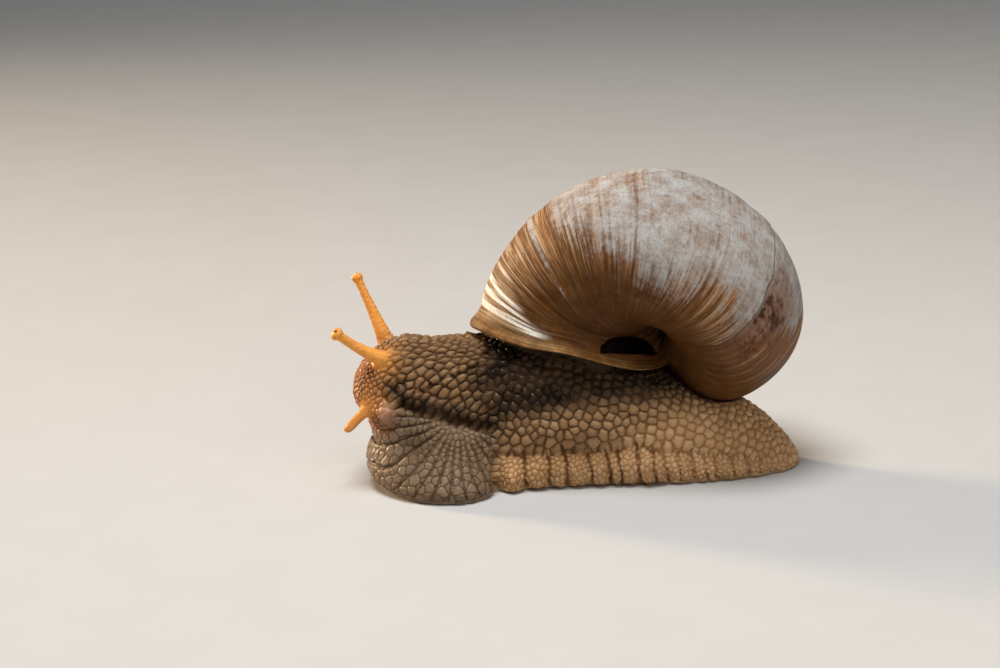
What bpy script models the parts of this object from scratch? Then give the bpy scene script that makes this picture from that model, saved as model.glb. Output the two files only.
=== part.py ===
"""Life-size still model of a Roman garden snail (Helix pomatia), crawling with its feelers out.

Lengths are in millimetres and become metres when a mesh is made. The head points to -X, +Y is
the animal's right side, +Z is up, and the flat sole lies at Z = 0.
"""

import math

import bmesh
import bpy
from mathutils import Vector

MM = 0.001
GAP = 0.3                       # clearance between neighbouring pieces

# ---- shell: one tube whose size and path grow by the same factor each turn ----
APEX = Vector((33.9, 14.6, 23.6))
AXIS_AZIMUTH = 50.3             # degrees, the way the apex points, seen from above
AXIS_ELEVATION = 12.0           # degrees above level
MOUTH_TURN = -20.0              # degrees, where the tube ends round the axis
MOUTH_RADIUS = 11.38            # half the tube's width at the mouth
TURN_GROWTH = 2.212             # growth over one full turn
TUBE_OFFSET = 1.049             # tube centre to axis, in tube radii
TUBE_DROP = 2.139               # tube centre below the apex, in tube radii
TUBE_TALLNESS = 1.217           # tube height over tube width
TUBE_SQUARENESS = 2.3           # exponent of the tube's rounded section
GROWTH_SLANT = 0.42             # radians, how far the mouth's top runs ahead of its base
WHORLS = 3.6                    # turns from the mouth to the first whorl
LAST_PIECE = 0.84               # turns of the last whorl made as one piece
LAST_STEPS = 40
LAST_SIDES = 24
INNER_PIECES = ((-1.55, -0.74, 20, 14), (-2.30, -1.48, 16, 12), (-3.05, -2.22, 12, 10),
                (-WHORLS, -2.97, 10, 8))    # start and end turn, steps, sides
SPIRE_SINK = 2.2                # how far the early whorls sit down into the last one
FIRST_WHORL_RADIUS = 1.0
SPINDLE_DEPTH = 17.0            # length of the solid core below the apex
SPINDLE_SLOPE = 0.20            # radius of the core over its depth
WALL = 1.1                      # wall at the mouth
LIP_FLARE = 0.55                # how far the lip turns out
LIP_LENGTH = 0.20               # radians of the last whorl that flare
FOLD_LENGTH = 0.45              # radians behind the mouth in which the lip folds over the navel
COLUMELLA_DROP = Vector((0.0, -0.5, -2.4))   # how far the fold drops
COLUMELLA_ANGLE = 0.2           # radians below the tube's inner side where the fold is deepest
FOLD_REACH = Vector((1.4, -0.3, -1.6))       # how far the end of the fold reaches back and down
FOLD_REACH_ANGLES = (-178.0, 21.0)           # degrees round the section, and their spread
LIP_LIFT = 1.75                 # how far the mouth's left edge rises
LIP_LIFT_ANGLES = (-131.0, 29.0)
LIP_LIFT_LENGTH = 1.3           # radians of the last whorl that rise
MOUTH_DEPTH = 0.42              # radians of tube left open behind the lip
COLLAR_DEPTH = 0.34             # radians of collar inside the mouth
COLLAR_PROUD = 1.7              # how far the collar stands out of the mouth

# ---- body: half-widths and heights at stations along X ----
HEAD_END = -17.0
TAIL_END = 38.0
STATION_COUNT = 44
CROWN_HEIGHT = ((-17, 18.4), (-12.5, 18.8), (-7, 18.3), (-2, 18.2), (5, 18.4), (12, 17.6),
                (18, 14.6), (24, 11.6), (30, 9.3), (33, 7.2), (35.5, 4.6), (37.0, 2.7), (37.8, 1.5), (38, 0.9))
BARREL_WIDTH = ((-11.5, 5.8), (-7, 6.1), (-2, 6.9), (4, 7.8), (11, 8.2), (18, 7.8),
                (25, 6.5), (30, 5.3), (33, 4.3), (35.5, 3.0), (37.2, 1.7), (38, 0.0))
BARREL_HEIGHT = ((-17, 12.0), (-12, 11.6), (-6, 9.4), (2, 8.4), (12, 8.0), (22, 6.4),
                 (30, 4.6), (34, 3.0), (38, 0.8))
FOOT_WIDTH = ((-5, 12.0), (-2.6, 11.0), (-1.2, 9.4), (-0.2, 7.2), (1.2, 8.2), (4, 7.5),
              (12, 7.4), (20, 7.7), (27, 7.0), (32, 5.7), (35.5, 3.9), (37.2, 2.1), (38, 0.0))
GROOVE_WIDTH = ((-6, 8.8), (-2, 8.3), (-0.2, 6.9), (5, 7.0), (12, 7.0), (20, 7.0), (27, 6.2),
                (32, 4.9), (35.5, 3.2), (37.2, 1.7), (38, 0.0))
GROOVE_HEIGHT = ((-17, 5.4), (-5, 5.2), (-1, 4.8), (3, 4.6), (14, 4.9), (22, 4.2), (28, 3.2), (33, 2.2), (38, 0.6))
FRINGE_HEIGHT = ((-17, 1.8), (-5, 1.4), (2, 2.0), (8, 2.7), (18, 2.6), (24, 1.8), (33, 1.0), (38, 0.4))
SOLE_SHARE = ((-17, 0.86), (-4, 0.88), (0, 0.84), (8, 0.70), (17, 0.70), (24, 0.82), (38, 0.84))
FOOT_FRONT_LENGTH = 12.0        # plan length of the rounded front of the foot
FACE_LENGTH = 5.5               # plan length of the rounded face
FACE_FADE = 9.0                 # how far back the face's side outline reaches
FACE_OUTLINE = ((0, 2.0), (1.0, 0.7), (2.6, 0.1), (4.2, 0.2), (5.8, 0.9), (7.1, 1.5), (8.4, 0.7),
                (9.8, -0.4), (11.6, -1.1), (13.6, -0.9), (15.4, 0.0), (16.9, 1.4), (18.1, 3.0), (19, 4.8))
FRINGE_LOBE = 3.4               # length of one lobe of the foot's fringe
FRINGE_WAVE = 0.28
SHOULDER = 0.22                 # how much squarer the back is under the shell
SPLIT_HEAD_NECK = -8.0
SPLIT_NECK_TRUNK = -0.6
SPLIT_TRUNK_TAIL = 27.5
SPLIT_FOOT = 4.3                # height at which the foot is parted from the body

# ---- feelers, eyes and lips: base, tip, and radii from base to tip ----
FEELER_SIDES = 10
UPPER_LEFT = dict(base=(-11.9, -2.9, 16.0), tip=(-19.6, -5.0, 20.9), sag=0.25,
                  radii=(1.75, 1.45, 1.10, 0.90, 0.76, 0.68, 0.64, 0.70, 0.86, 0.90, 0.80, 0.52))
UPPER_RIGHT = dict(base=(-13.2, 3.2, 16.2), tip=(-17.1, 5.8, 25.4), sag=-0.04,
                   radii=(1.45, 1.30, 1.06, 0.90, 0.78, 0.68, 0.64, 0.68, 0.82, 0.86, 0.78, 0.50))
LOWER_LEFT = dict(base=(-14.2, -2.7, 11.2), tip=(-18.9, -4.1, 7.9), sag=0.10,
                  radii=(0.85, 0.74, 0.64, 0.56, 0.52, 0.52, 0.50, 0.36))
LOWER_RIGHT = dict(base=(-14.4, 2.7, 11.0), tip=(-16.9, 5.2, 9.3), sag=0.10,
                   radii=(0.80, 0.72, 0.64, 0.60, 0.58, 0.56, 0.52, 0.36))
EYE_RADIUS = 0.34
EYE_SOCKET_GAP = 0.1
LIP_CENTRE = Vector((-14.2, 3.7, 9.2))
LIP_RADII = Vector((1.6, 1.35, 1.25))

# ---- surface: colour, metallic, roughness ----
SHELL_LOOK = ((0.62, 0.52, 0.41), 0.0, 0.45)
SKIN_LOOK = ((0.42, 0.32, 0.22), 0.0, 0.40)
FOOT_LOOK = ((0.55, 0.42, 0.28), 0.0, 0.40)
FEELER_LOOK = ((0.66, 0.42, 0.27), 0.0, 0.35)
COLLAR_LOOK = ((0.36, 0.27, 0.17), 0.0, 0.35)
EYE_LOOK = ((0.02, 0.02, 0.02), 0.0, 0.15)


# ---------------------------------------------------------------- scene helpers

def clear_scene():
    for item in list(bpy.data.objects):
        bpy.data.objects.remove(item, do_unlink=True)


def new_collection(name):
    collection = bpy.data.collections.new(name)
    bpy.context.scene.collection.children.link(collection)
    return collection


def material(name, look):
    colour, metallic, roughness = look
    made = bpy.data.materials.new(name)
    made.use_nodes = True
    surface = made.node_tree.nodes["Principled BSDF"]
    surface.inputs["Base Color"].default_value = (*colour, 1.0)
    surface.inputs["Metallic"].default_value = metallic
    surface.inputs["Roughness"].default_value = roughness
    made.diffuse_color = (*colour, 1.0)
    return made


def object_from_bmesh(name, mesh_data, collection):
    """Millimetre bmesh to a metre object with its faces pointing out."""
    bmesh.ops.remove_doubles(mesh_data, verts=mesh_data.verts, dist=1e-4)
    bmesh.ops.recalc_face_normals(mesh_data, faces=mesh_data.faces)
    bmesh.ops.scale(mesh_data, vec=(MM, MM, MM), verts=mesh_data.verts)
    mesh = bpy.data.meshes.new(name)
    mesh_data.to_mesh(mesh)
    mesh_data.free()
    made = bpy.data.objects.new(name, mesh)
    collection.objects.link(made)
    return made


def boolean(target, other, operation):
    """Apply one exact Boolean to target at once."""
    modifier = target.modifiers.new(operation.lower(), "BOOLEAN")
    modifier.operation = operation
    modifier.object = other
    modifier.solver = "EXACT"
    modifier.use_self = True
    bpy.context.view_layer.update()
    evaluated = target.evaluated_get(bpy.context.evaluated_depsgraph_get())
    mesh = bpy.data.meshes.new_from_object(evaluated)
    target.modifiers.clear()
    old_mesh = target.data
    target.data = mesh
    bpy.data.meshes.remove(old_mesh)


def discard(*items):
    for item in items:
        bpy.data.objects.remove(item, do_unlink=True)


def copy_of(source, name, collection):
    made = bpy.data.objects.new(name, source.data.copy())
    collection.objects.link(made)
    return made


# ---------------------------------------------------------------- curves through stations

def smoothstep(low, high, value):
    share = min(1.0, max(0.0, (value - low) / (high - low)))
    return share * share * (3.0 - 2.0 * share)


def along(stations, x):
    """Height of the smooth curve through (x, value) stations."""
    if x <= stations[0][0]:
        return stations[0][1]
    if x >= stations[-1][0]:
        return stations[-1][1]
    last = len(stations) - 1
    index = max(i for i in range(last) if stations[i][0] <= x)

    def slope(i):
        if i in (0, last):
            return 0.0
        before = (stations[i][1] - stations[i - 1][1]) / (stations[i][0] - stations[i - 1][0])
        after = (stations[i + 1][1] - stations[i][1]) / (stations[i + 1][0] - stations[i][0])
        return 0.0 if before * after <= 0 else 2.0 * before * after / (before + after)

    (x0, y0), (x1, y1) = stations[index], stations[index + 1]
    span = x1 - x0
    t = (x - x0) / span
    start, end = slope(index) * span, slope(index + 1) * span
    if index + 1 == last:
        end = y1 - y0
    return ((2 * t**3 - 3 * t**2 + 1) * y0 + (t**3 - 2 * t**2 + t) * start
            + (3 * t**2 - 2 * t**3) * y1 + (t**3 - t**2) * end)


def rounded_end(x, end, length):
    """0 at a rounded end, growing like an ellipse to 1 at length behind it."""
    share = min(1.0, max(0.0, 1.0 - abs(x - end) / length))
    return math.sqrt(1.0 - share * share)


# ---------------------------------------------------------------- shell

def shell_frame():
    azimuth, elevation = math.radians(AXIS_AZIMUTH), math.radians(AXIS_ELEVATION)
    axis = Vector((math.cos(azimuth) * math.cos(elevation),
                   math.sin(azimuth) * math.cos(elevation), math.sin(elevation)))
    forward = Vector((-1, 0, 0))
    forward = (forward - axis * forward.dot(axis)).normalized()
    return axis, forward, axis.cross(forward)


def bump(around, angles):
    """1 at the first of two angles in degrees, fading with the second, round the tube's section."""
    centre, spread = angles
    apart = (math.degrees(around) - centre + 180.0) % 360.0 - 180.0
    return math.exp(-(apart / spread) ** 2)


def tube_point(turn, around, swell=0.0):
    """Point of the shell tube: turn is the angle round the axis, around the angle in the section."""
    axis, forward, across = shell_frame()
    slanted = turn + GROWTH_SLANT * math.sin(around)
    size = MOUTH_RADIUS * TURN_GROWTH ** (slanted / math.tau)
    cosine, sine = math.cos(around), math.sin(around)
    reach = (abs(cosine) ** TUBE_SQUARENESS + abs(sine) ** TUBE_SQUARENESS) ** (-1 / TUBE_SQUARENESS)
    flare = LIP_FLARE * smoothstep(-LIP_LENGTH, 0.0, turn)
    out = max(0.012 * size, size * (TUBE_OFFSET + reach * cosine) + (swell + flare) * cosine)
    up = size * (-TUBE_DROP + TUBE_TALLNESS * reach * sine) + (swell + flare) * sine
    up -= SPIRE_SINK * smoothstep(0.5, 1.8, -slanted / math.tau)
    angle = math.radians(MOUTH_TURN) - slanted
    direction = forward * math.cos(angle) + across * math.sin(angle)
    inner = max(0.0, -math.cos(around - COLUMELLA_ANGLE)) ** 4
    near = smoothstep(-FOLD_LENGTH, 0.0, turn)
    fold = (COLUMELLA_DROP * inner + FOLD_REACH * bump(around, FOLD_REACH_ANGLES)) * near
    lift = LIP_LIFT * bump(around, LIP_LIFT_ANGLES) * smoothstep(-LIP_LIFT_LENGTH, 0.0, turn)
    return APEX + direction * out + axis * up + fold + Vector((0.0, 0.0, lift))


def tube(name, start, end, steps, sides, collection, swell=0.0, taper=0.0, proud=0.0, mouth=0.0):
    """Closed length of the tube. taper pulls its late end in, proud lengthens that end downwards,
    and mouth folds the end back inside over that many radians, so that it is open there."""
    data = bmesh.new()
    rings = []
    for step in range(steps + 1):
        share = step / steps
        turn = start + (end - start) * share
        pull = taper * smoothstep(0.75, 1.0, share)
        rings.append([tube_point(turn, math.tau * i / sides, swell - pull) for i in range(sides)])
    if proud:
        middle = sum(rings[-1], Vector()) / sides
        for drop, shrink in ((0.6, 0.0), (0.9, 0.03), (1.0, 0.12)):
            lowered = Vector((0, 0, -proud * drop))
            rings.append([p.lerp(middle, shrink) + lowered for p in rings[steps]])
    if mouth:
        for back, wall in ((0.0, 0.5), (0.015, 0.9), (0.05, 1.0), (0.5, 1.0), (0.9, 1.0), (1.0, 2.2)):
            turn = end - mouth * back
            rings.append([tube_point(turn, math.tau * i / sides, swell - WALL * wall)
                          for i in range(sides)])
    vertices = [[data.verts.new(p) for p in ring] for ring in rings]
    for near, far in zip(vertices, vertices[1:]):
        for i in range(sides):
            data.faces.new((near[i], near[(i + 1) % sides], far[(i + 1) % sides], far[i]))
    for ring in (vertices[0], vertices[-1]):
        centre = data.verts.new(sum((v.co for v in ring), Vector()) / sides)
        for i in range(sides):
            data.faces.new((ring[i], ring[(i + 1) % sides], centre))
    return object_from_bmesh(name, data, collection)


def core(name, collection, swell=0.0):
    """Spindle that closes the upper part of the navel, and the ball of the first whorl."""
    axis = shell_frame()[0]
    data = bmesh.new()
    bmesh.ops.create_cone(data, segments=16, radius1=SPINDLE_SLOPE * SPINDLE_DEPTH + swell,
                          radius2=0.2 + swell, depth=SPINDLE_DEPTH, cap_ends=True)
    bmesh.ops.rotate(data, matrix=axis.to_track_quat("Z", "Y").to_matrix(), verts=data.verts)
    top = 1.0 + SPIRE_SINK
    bmesh.ops.translate(data, vec=APEX - axis * (SPINDLE_DEPTH / 2 + top), verts=data.verts)
    spindle = object_from_bmesh(name, data, collection)
    data = bmesh.new()
    bmesh.ops.create_uvsphere(data, u_segments=12, v_segments=7, radius=FIRST_WHORL_RADIUS + swell)
    bmesh.ops.translate(data, vec=APEX - axis * (1.05 + SPIRE_SINK), verts=data.verts)
    ball = object_from_bmesh("first_whorl", data, collection)
    boolean(spindle, ball, "UNION")
    discard(ball)
    return spindle


def inner_whorls(name, collection, swell=0.0):
    """All whorls but the last, joined to the spindle."""
    joined = core(name, collection, swell)
    for start, end, steps, sides in INNER_PIECES:
        whorl = tube("whorl", start * math.tau, end * math.tau, steps, sides, collection,
                     swell=swell, taper=0.12)
        boolean(joined, whorl, "UNION")
        discard(whorl)
    return joined


def build_shell(parts, cutters):
    inner = inner_whorls("inner_whorls", cutters)
    shell = tube("shell", -LAST_PIECE * math.tau, 0.0, LAST_STEPS, LAST_SIDES, parts, mouth=MOUTH_DEPTH)
    boolean(shell, inner, "UNION")
    discard(inner)
    return shell


def build_shell_clearance(cutters):
    """The shell without its mouth space, grown by the gap."""
    inner = inner_whorls("inner_clearance", cutters, swell=GAP)
    whole = tube("shell_clearance", -LAST_PIECE * math.tau, 0.02, LAST_STEPS, LAST_SIDES, cutters,
                 swell=GAP)
    boolean(whole, inner, "UNION")
    return whole, inner


def build_collar(parts, inner_clearance):
    collar = tube("mantle_collar", -COLLAR_DEPTH, 0.0, 4, LAST_SIDES, parts,
                  swell=-(WALL + LIP_FLARE + GAP), proud=COLLAR_PROUD)
    boolean(collar, inner_clearance, "DIFFERENCE")
    return collar


def build_collar_clearance(cutters):
    """The part of the collar that stands out of the mouth, grown by the gap."""
    return tube("collar_clearance", -0.15, 0.0, 3, LAST_SIDES, cutters, swell=-(WALL + LIP_FLARE),
                proud=COLLAR_PROUD + GAP)


# ---------------------------------------------------------------- body

def half_section(x):
    """Points (y, z) of the right half of the body's section, from sole centre to crown."""
    crown = along(CROWN_HEIGHT, x)
    front_foot = rounded_end(x, HEAD_END, FOOT_FRONT_LENGTH)
    front_face = rounded_end(x, HEAD_END, FACE_LENGTH)
    barrel = along(BARREL_WIDTH, x) * front_face
    barrel_z = min(along(BARREL_HEIGHT, x), 0.7 * crown)
    foot = along(FOOT_WIDTH, x) * front_foot
    if x > 1.0:
        foot += FRINGE_WAVE * math.cos(math.tau * (x - 1.8) / FRINGE_LOBE) * smoothstep(37, 34, x)
    groove = max(along(GROOVE_WIDTH, x) * front_foot, 0.75 * barrel)
    groove_z = min(along(GROOVE_HEIGHT, x), 0.45 * crown)
    fringe_z = min(along(FRINGE_HEIGHT, x), 0.22 * crown)
    sole = along(SOLE_SHARE, x) * foot
    points = [(0.0, 0.0), (0.5 * sole, 0.0), (sole, 0.0)]
    for angle in (20, 55, 90):
        turned = math.radians(angle)
        points.append((sole + (foot - sole) * math.sin(turned), fringe_z * (1 - math.cos(turned))))
    step = smoothstep(-3.0, 1.0, x)
    for share in (0.30, 0.62, 0.88):
        ease = share + step * (smoothstep(0, 1, share) - share)
        points.append((foot + (groove - foot) * ease, fringe_z + (groove_z - fringe_z) * share))
    for share in (0.15, 0.5, 0.8):
        ease = share + step * (smoothstep(0, 1, share) - share)
        points.append((groove + (barrel - groove) * ease, groove_z + (barrel_z - groove_z) * share))
    fullness = 0.92 - SHOULDER * smoothstep(-9.0, -1.0, x) * smoothstep(27.0, 18.0, x)
    for angle in (0, 18, 34, 50, 66, 79, 90):
        turned = math.radians(angle)
        points.append((barrel * math.cos(turned) ** fullness,
                       barrel_z + (crown - barrel_z) * math.sin(turned) ** fullness))
    points[-1] = (0.0, crown)
    return points


def station_positions():
    """Stations along X, closer together at both ends."""
    positions = []
    for i in range(STATION_COUNT + 1):
        share = i / STATION_COUNT
        eased = 0.62 * share + 0.38 * (0.5 - 0.5 * math.cos(math.pi * share))
        positions.append(HEAD_END + (TAIL_END - HEAD_END) * eased)
    return positions


def build_body(cutters):
    data = bmesh.new()
    rings = []
    for x in station_positions():
        half = half_section(x)
        left = [(-y, z) for y, z in reversed(half[1:-1])]
        fade = 1.0 - smoothstep(0.0, FACE_FADE, x - HEAD_END)
        ring = [Vector((x + fade * along(FACE_OUTLINE, z), y, z)) for y, z in half + left]
        rings.append([data.verts.new(p) for p in ring])
    count = len(rings[0])
    for near, far in zip(rings, rings[1:]):
        for i in range(count):
            data.faces.new((near[i], near[(i + 1) % count], far[(i + 1) % count], far[i]))
    bmesh.ops.remove_doubles(data, verts=data.verts, dist=1e-3)
    bmesh.ops.dissolve_degenerate(data, edges=data.edges, dist=1e-3)
    bmesh.ops.triangulate(data, faces=data.faces)
    return object_from_bmesh("body", data, cutters)


def box_between(name, low, high, collection):
    data = bmesh.new()
    bmesh.ops.create_cube(data, size=1.0)
    low, high = Vector(low), Vector(high)
    bmesh.ops.scale(data, vec=high - low, verts=data.verts)
    bmesh.ops.translate(data, vec=(low + high) / 2, verts=data.verts)
    return object_from_bmesh(name, data, collection)


def part_body(body, parts, cutters):
    """Part the whole body with thin plane cuts."""
    reach = 40.0
    half_gap = GAP / 2
    spans = {
        "head": (-reach, SPLIT_HEAD_NECK, SPLIT_FOOT, reach),
        "neck": (SPLIT_HEAD_NECK, SPLIT_NECK_TRUNK, SPLIT_FOOT, reach),
        "trunk": (SPLIT_NECK_TRUNK, SPLIT_TRUNK_TAIL, SPLIT_FOOT, reach),
        "tail": (SPLIT_TRUNK_TAIL, 2 * reach, -reach, reach),
        "foot_front": (-reach, SPLIT_NECK_TRUNK, -reach, SPLIT_FOOT),
        "foot_middle": (SPLIT_NECK_TRUNK, SPLIT_TRUNK_TAIL, -reach, SPLIT_FOOT),
    }
    pieces = {}
    for name, (x_low, x_high, z_low, z_high) in spans.items():
        block = box_between("block", (x_low + half_gap, -reach, z_low + half_gap),
                            (x_high - half_gap, reach, z_high - half_gap), cutters)
        pieces[name] = copy_of(body, name, parts)
        boolean(pieces[name], block, "INTERSECT")
        discard(block)
    return pieces


# ---------------------------------------------------------------- feelers, eyes, lips

def feeler_path(shape):
    """Points from base to tip, bowed by the sag."""
    base, tip = Vector(shape["base"]), Vector(shape["tip"])
    count = len(shape["radii"])
    length = (tip - base).length
    points = []
    for i in range(count):
        share = i / (count - 1)
        share = share ** 0.92
        bow = Vector((0, 0, -shape["sag"] * length * 0.25 * math.sin(math.pi * share)))
        points.append(base.lerp(tip, share) + bow)
    end = (points[-1] - points[-2]).normalized()
    points.append(points[-1] + end * shape["radii"][-1] * 0.55)
    return points


def build_feeler(name, shape, collection, swell=0.0):
    points = feeler_path(shape)
    radii = [radius + swell for radius in shape["radii"]]
    radii.append(0.35 * radii[-1])
    curve = bpy.data.curves.new(name, "CURVE")
    curve.dimensions = "3D"
    curve.bevel_depth = MM
    curve.bevel_resolution = FEELER_SIDES // 2 - 2
    curve.use_fill_caps = True
    spline = curve.splines.new("POLY")
    spline.points.add(len(points) - 1)
    for control, point, radius in zip(spline.points, points, radii):
        control.co = (*(point * MM), 1.0)
        control.radius = radius
    guide = bpy.data.objects.new(name + "_curve", curve)
    collection.objects.link(guide)
    bpy.context.view_layer.update()
    evaluated = guide.evaluated_get(bpy.context.evaluated_depsgraph_get())
    mesh = bpy.data.meshes.new_from_object(evaluated)
    mesh.name = name
    discard(guide)
    data = bmesh.new()
    data.from_mesh(mesh)
    bmesh.ops.remove_doubles(data, verts=data.verts, dist=1e-7)
    bmesh.ops.recalc_face_normals(data, faces=data.faces)
    data.to_mesh(mesh)
    data.free()
    made = bpy.data.objects.new(name, mesh)
    collection.objects.link(made)
    return made


def ball(name, centre, radii, collection, rings=(14, 8)):
    data = bmesh.new()
    bmesh.ops.create_uvsphere(data, u_segments=rings[0], v_segments=rings[1], radius=1.0)
    bmesh.ops.scale(data, vec=radii, verts=data.verts)
    bmesh.ops.translate(data, vec=centre, verts=data.verts)
    return object_from_bmesh(name, data, collection)


def eye_centre(shape):
    """Just inside the feeler's tip, on the upper side."""
    points = feeler_path(shape)
    end = (points[-1] - points[-2]).normalized()
    return points[-1] - end * 0.08 + Vector((0, 0, 0.08))


def build_upper_feeler(side, shape, head, parts, cutters):
    feeler = build_feeler("tentacle_upper_" + side, shape, parts)
    clearance = build_feeler("feeler_clearance", shape, cutters, swell=GAP)
    boolean(head, clearance, "DIFFERENCE")
    centre = eye_centre(shape)
    eye = ball("eye_" + side, centre, (EYE_RADIUS,) * 3, parts, rings=(12, 8))
    socket = ball("socket", centre, (EYE_RADIUS + EYE_SOCKET_GAP,) * 3, cutters, rings=(12, 8))
    boolean(feeler, socket, "DIFFERENCE")
    discard(clearance, socket)
    return feeler, eye


def build_lower_feeler(side, shape, head, parts, cutters):
    feeler = build_feeler("tentacle_lower_" + side, shape, parts)
    clearance = build_feeler("feeler_clearance", shape, cutters, swell=GAP)
    boolean(head, clearance, "DIFFERENCE")
    discard(clearance)
    return feeler


def build_lip(side, sign, shape, head, parts, cutters):
    centre = Vector((LIP_CENTRE.x, sign * LIP_CENTRE.y, LIP_CENTRE.z))
    lip = ball("lip_" + side, centre, LIP_RADII, parts)
    grown = LIP_RADII + Vector((GAP, GAP, GAP))
    clearance = ball("lip_clearance", centre, grown, cutters)
    boolean(head, clearance, "DIFFERENCE")
    feeler_clearance = build_feeler("feeler_clearance", shape, cutters, swell=GAP)
    boolean(lip, feeler_clearance, "DIFFERENCE")
    discard(clearance, feeler_clearance)
    return lip


# ---------------------------------------------------------------- finishing

def finish_part(part, surface):
    part.data.materials.clear()
    part.data.materials.append(surface)
    part.data.shade_smooth()
    part.data.set_sharp_from_angle(angle=math.radians(40))


def centre_on_floor(parts):
    """Move every part so that the box of the whole stands on the origin."""
    corners = [vertex.co for part in parts.objects for vertex in part.data.vertices]
    low = Vector([min(corner[i] for corner in corners) for i in range(3)])
    high = Vector([max(corner[i] for corner in corners) for i in range(3)])
    shift = Vector((-(low.x + high.x) / 2, -(low.y + high.y) / 2, -low.z))
    for part in parts.objects:
        for vertex in part.data.vertices:
            vertex.co += shift


def main():
    clear_scene()
    parts = new_collection("garden_snail")
    cutters = new_collection("cutters")

    shell = build_shell(parts, cutters)
    clearance, inner_clearance = build_shell_clearance(cutters)
    collar = build_collar(parts, inner_clearance)
    body = build_body(cutters)
    collar_clearance = build_collar_clearance(cutters)
    boolean(body, clearance, "DIFFERENCE")
    boolean(body, collar_clearance, "DIFFERENCE")
    pieces = part_body(body, parts, cutters)
    discard(clearance, inner_clearance, collar_clearance, body)

    head = pieces["head"]
    feelers, eyes = [], []
    for side, shape in (("left", UPPER_LEFT), ("right", UPPER_RIGHT)):
        feeler, eye = build_upper_feeler(side, shape, head, parts, cutters)
        feelers.append(feeler)
        eyes.append(eye)
    for side, shape, sign in (("left", LOWER_LEFT, -1), ("right", LOWER_RIGHT, 1)):
        feelers.append(build_lower_feeler(side, shape, head, parts, cutters))
        pieces["lip_" + side] = build_lip(side, sign, shape, head, parts, cutters)

    finish_part(shell, material("shell", SHELL_LOOK))
    finish_part(collar, material("collar", COLLAR_LOOK))
    skin, sole = material("skin", SKIN_LOOK), material("foot", FOOT_LOOK)
    for name, piece in pieces.items():
        finish_part(piece, sole if name.startswith("foot") else skin)
    feeler_skin, eye_black = material("feeler", FEELER_LOOK), material("eye", EYE_LOOK)
    for feeler in feelers:
        finish_part(feeler, feeler_skin)
    for eye in eyes:
        finish_part(eye, eye_black)
    centre_on_floor(parts)


main()
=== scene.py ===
"""Looks of the still model of a Roman garden snail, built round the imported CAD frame.

Shapes are worked out in millimetres in the design's own frame: the head points to -X, +Y is the
animal's right side and the sole lies at Z = 0. to_frame() turns them into metres in the row frame.
"""

import math

import bmesh
import bpy
import numpy as np
from mathutils import Matrix, Vector
from mathutils.bvhtree import BVHTree
from mathutils.kdtree import KDTree


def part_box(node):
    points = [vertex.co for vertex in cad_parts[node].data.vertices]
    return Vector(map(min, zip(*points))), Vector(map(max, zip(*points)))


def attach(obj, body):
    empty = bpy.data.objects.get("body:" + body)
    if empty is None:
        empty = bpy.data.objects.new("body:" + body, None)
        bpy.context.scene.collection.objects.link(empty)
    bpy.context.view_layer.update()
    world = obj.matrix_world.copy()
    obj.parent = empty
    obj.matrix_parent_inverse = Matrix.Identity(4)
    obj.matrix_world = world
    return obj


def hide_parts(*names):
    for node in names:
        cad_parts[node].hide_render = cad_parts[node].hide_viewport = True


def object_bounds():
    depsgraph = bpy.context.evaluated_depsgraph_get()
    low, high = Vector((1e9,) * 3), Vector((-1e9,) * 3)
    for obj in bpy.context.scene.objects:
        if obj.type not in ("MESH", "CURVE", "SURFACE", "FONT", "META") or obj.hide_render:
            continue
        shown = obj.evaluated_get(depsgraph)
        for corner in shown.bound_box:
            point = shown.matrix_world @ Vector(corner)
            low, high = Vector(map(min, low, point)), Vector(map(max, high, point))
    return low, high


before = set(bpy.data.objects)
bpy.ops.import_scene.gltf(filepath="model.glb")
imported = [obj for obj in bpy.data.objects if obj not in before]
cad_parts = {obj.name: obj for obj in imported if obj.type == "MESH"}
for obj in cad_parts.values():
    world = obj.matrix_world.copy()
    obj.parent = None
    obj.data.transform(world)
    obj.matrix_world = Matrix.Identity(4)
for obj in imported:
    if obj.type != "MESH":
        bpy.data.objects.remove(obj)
CAD_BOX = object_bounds()

MM = 0.001
TAIL_TIP_X = 38.0               # the tail's tip in the design's frame, where its middle is Y = 0
tail_low, tail_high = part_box("tail")
ORIGIN = np.array([tail_high.x - TAIL_TIP_X * MM, (tail_low.y + tail_high.y) / 2, tail_low.z])

# ---- the shell's tube, as in the CAD source, in millimetres ----
# A turn is the angle round the axis in radians: 0 at the mouth and negative behind it.
APEX = np.array([33.9, 14.6, 23.6])
AXIS_AZIMUTH = math.radians(50.3)
AXIS_ELEVATION = math.radians(12.0)
MOUTH_TURN = math.radians(-20.0)
MOUTH_RADIUS = 11.38
TURN_GROWTH = 2.212
TUBE_OFFSET = 1.049
TUBE_DROP = 2.139
TUBE_TALLNESS = 1.217
TUBE_SQUARENESS = 2.3
GROWTH_SLANT = 0.42
WHORLS = 3.6
SPIRE_SINK = 2.2
WALL = 1.1
LIP_FLARE = 0.55
LIP_LENGTH = 0.2
LIP_EDGE = 0.035        # turn over which the lip's edge is rounded
FOLD_LENGTH = 0.45
COLUMELLA_DROP = np.array([0.0, -0.5, -2.4])
COLUMELLA_ANGLE = 0.2
FOLD_REACH = np.array([1.4, -0.3, -1.6])
LIP_LIFT = 1.75
LIP_LIFT_LENGTH = 1.3
NAVEL = np.array([16.4, -3.8, 17.55])       # middle of the navel's opening
NAVEL_END = np.array([20.6, -5.0, 15.9])    # where the painted shade on the lip's inner end is darkest
NAVEL_UP = np.array([0.0, 0.26, 0.966])     # across the opening; it faces along NAVEL_IN
NAVEL_IN = np.array([0.0, 0.966, -0.26])
NAVEL_DEPTH = 5.0
FLANGE_REACH = np.array([1.5, 0.9, 0.1])    # the lip's inner end lies on the whorl beside it
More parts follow.
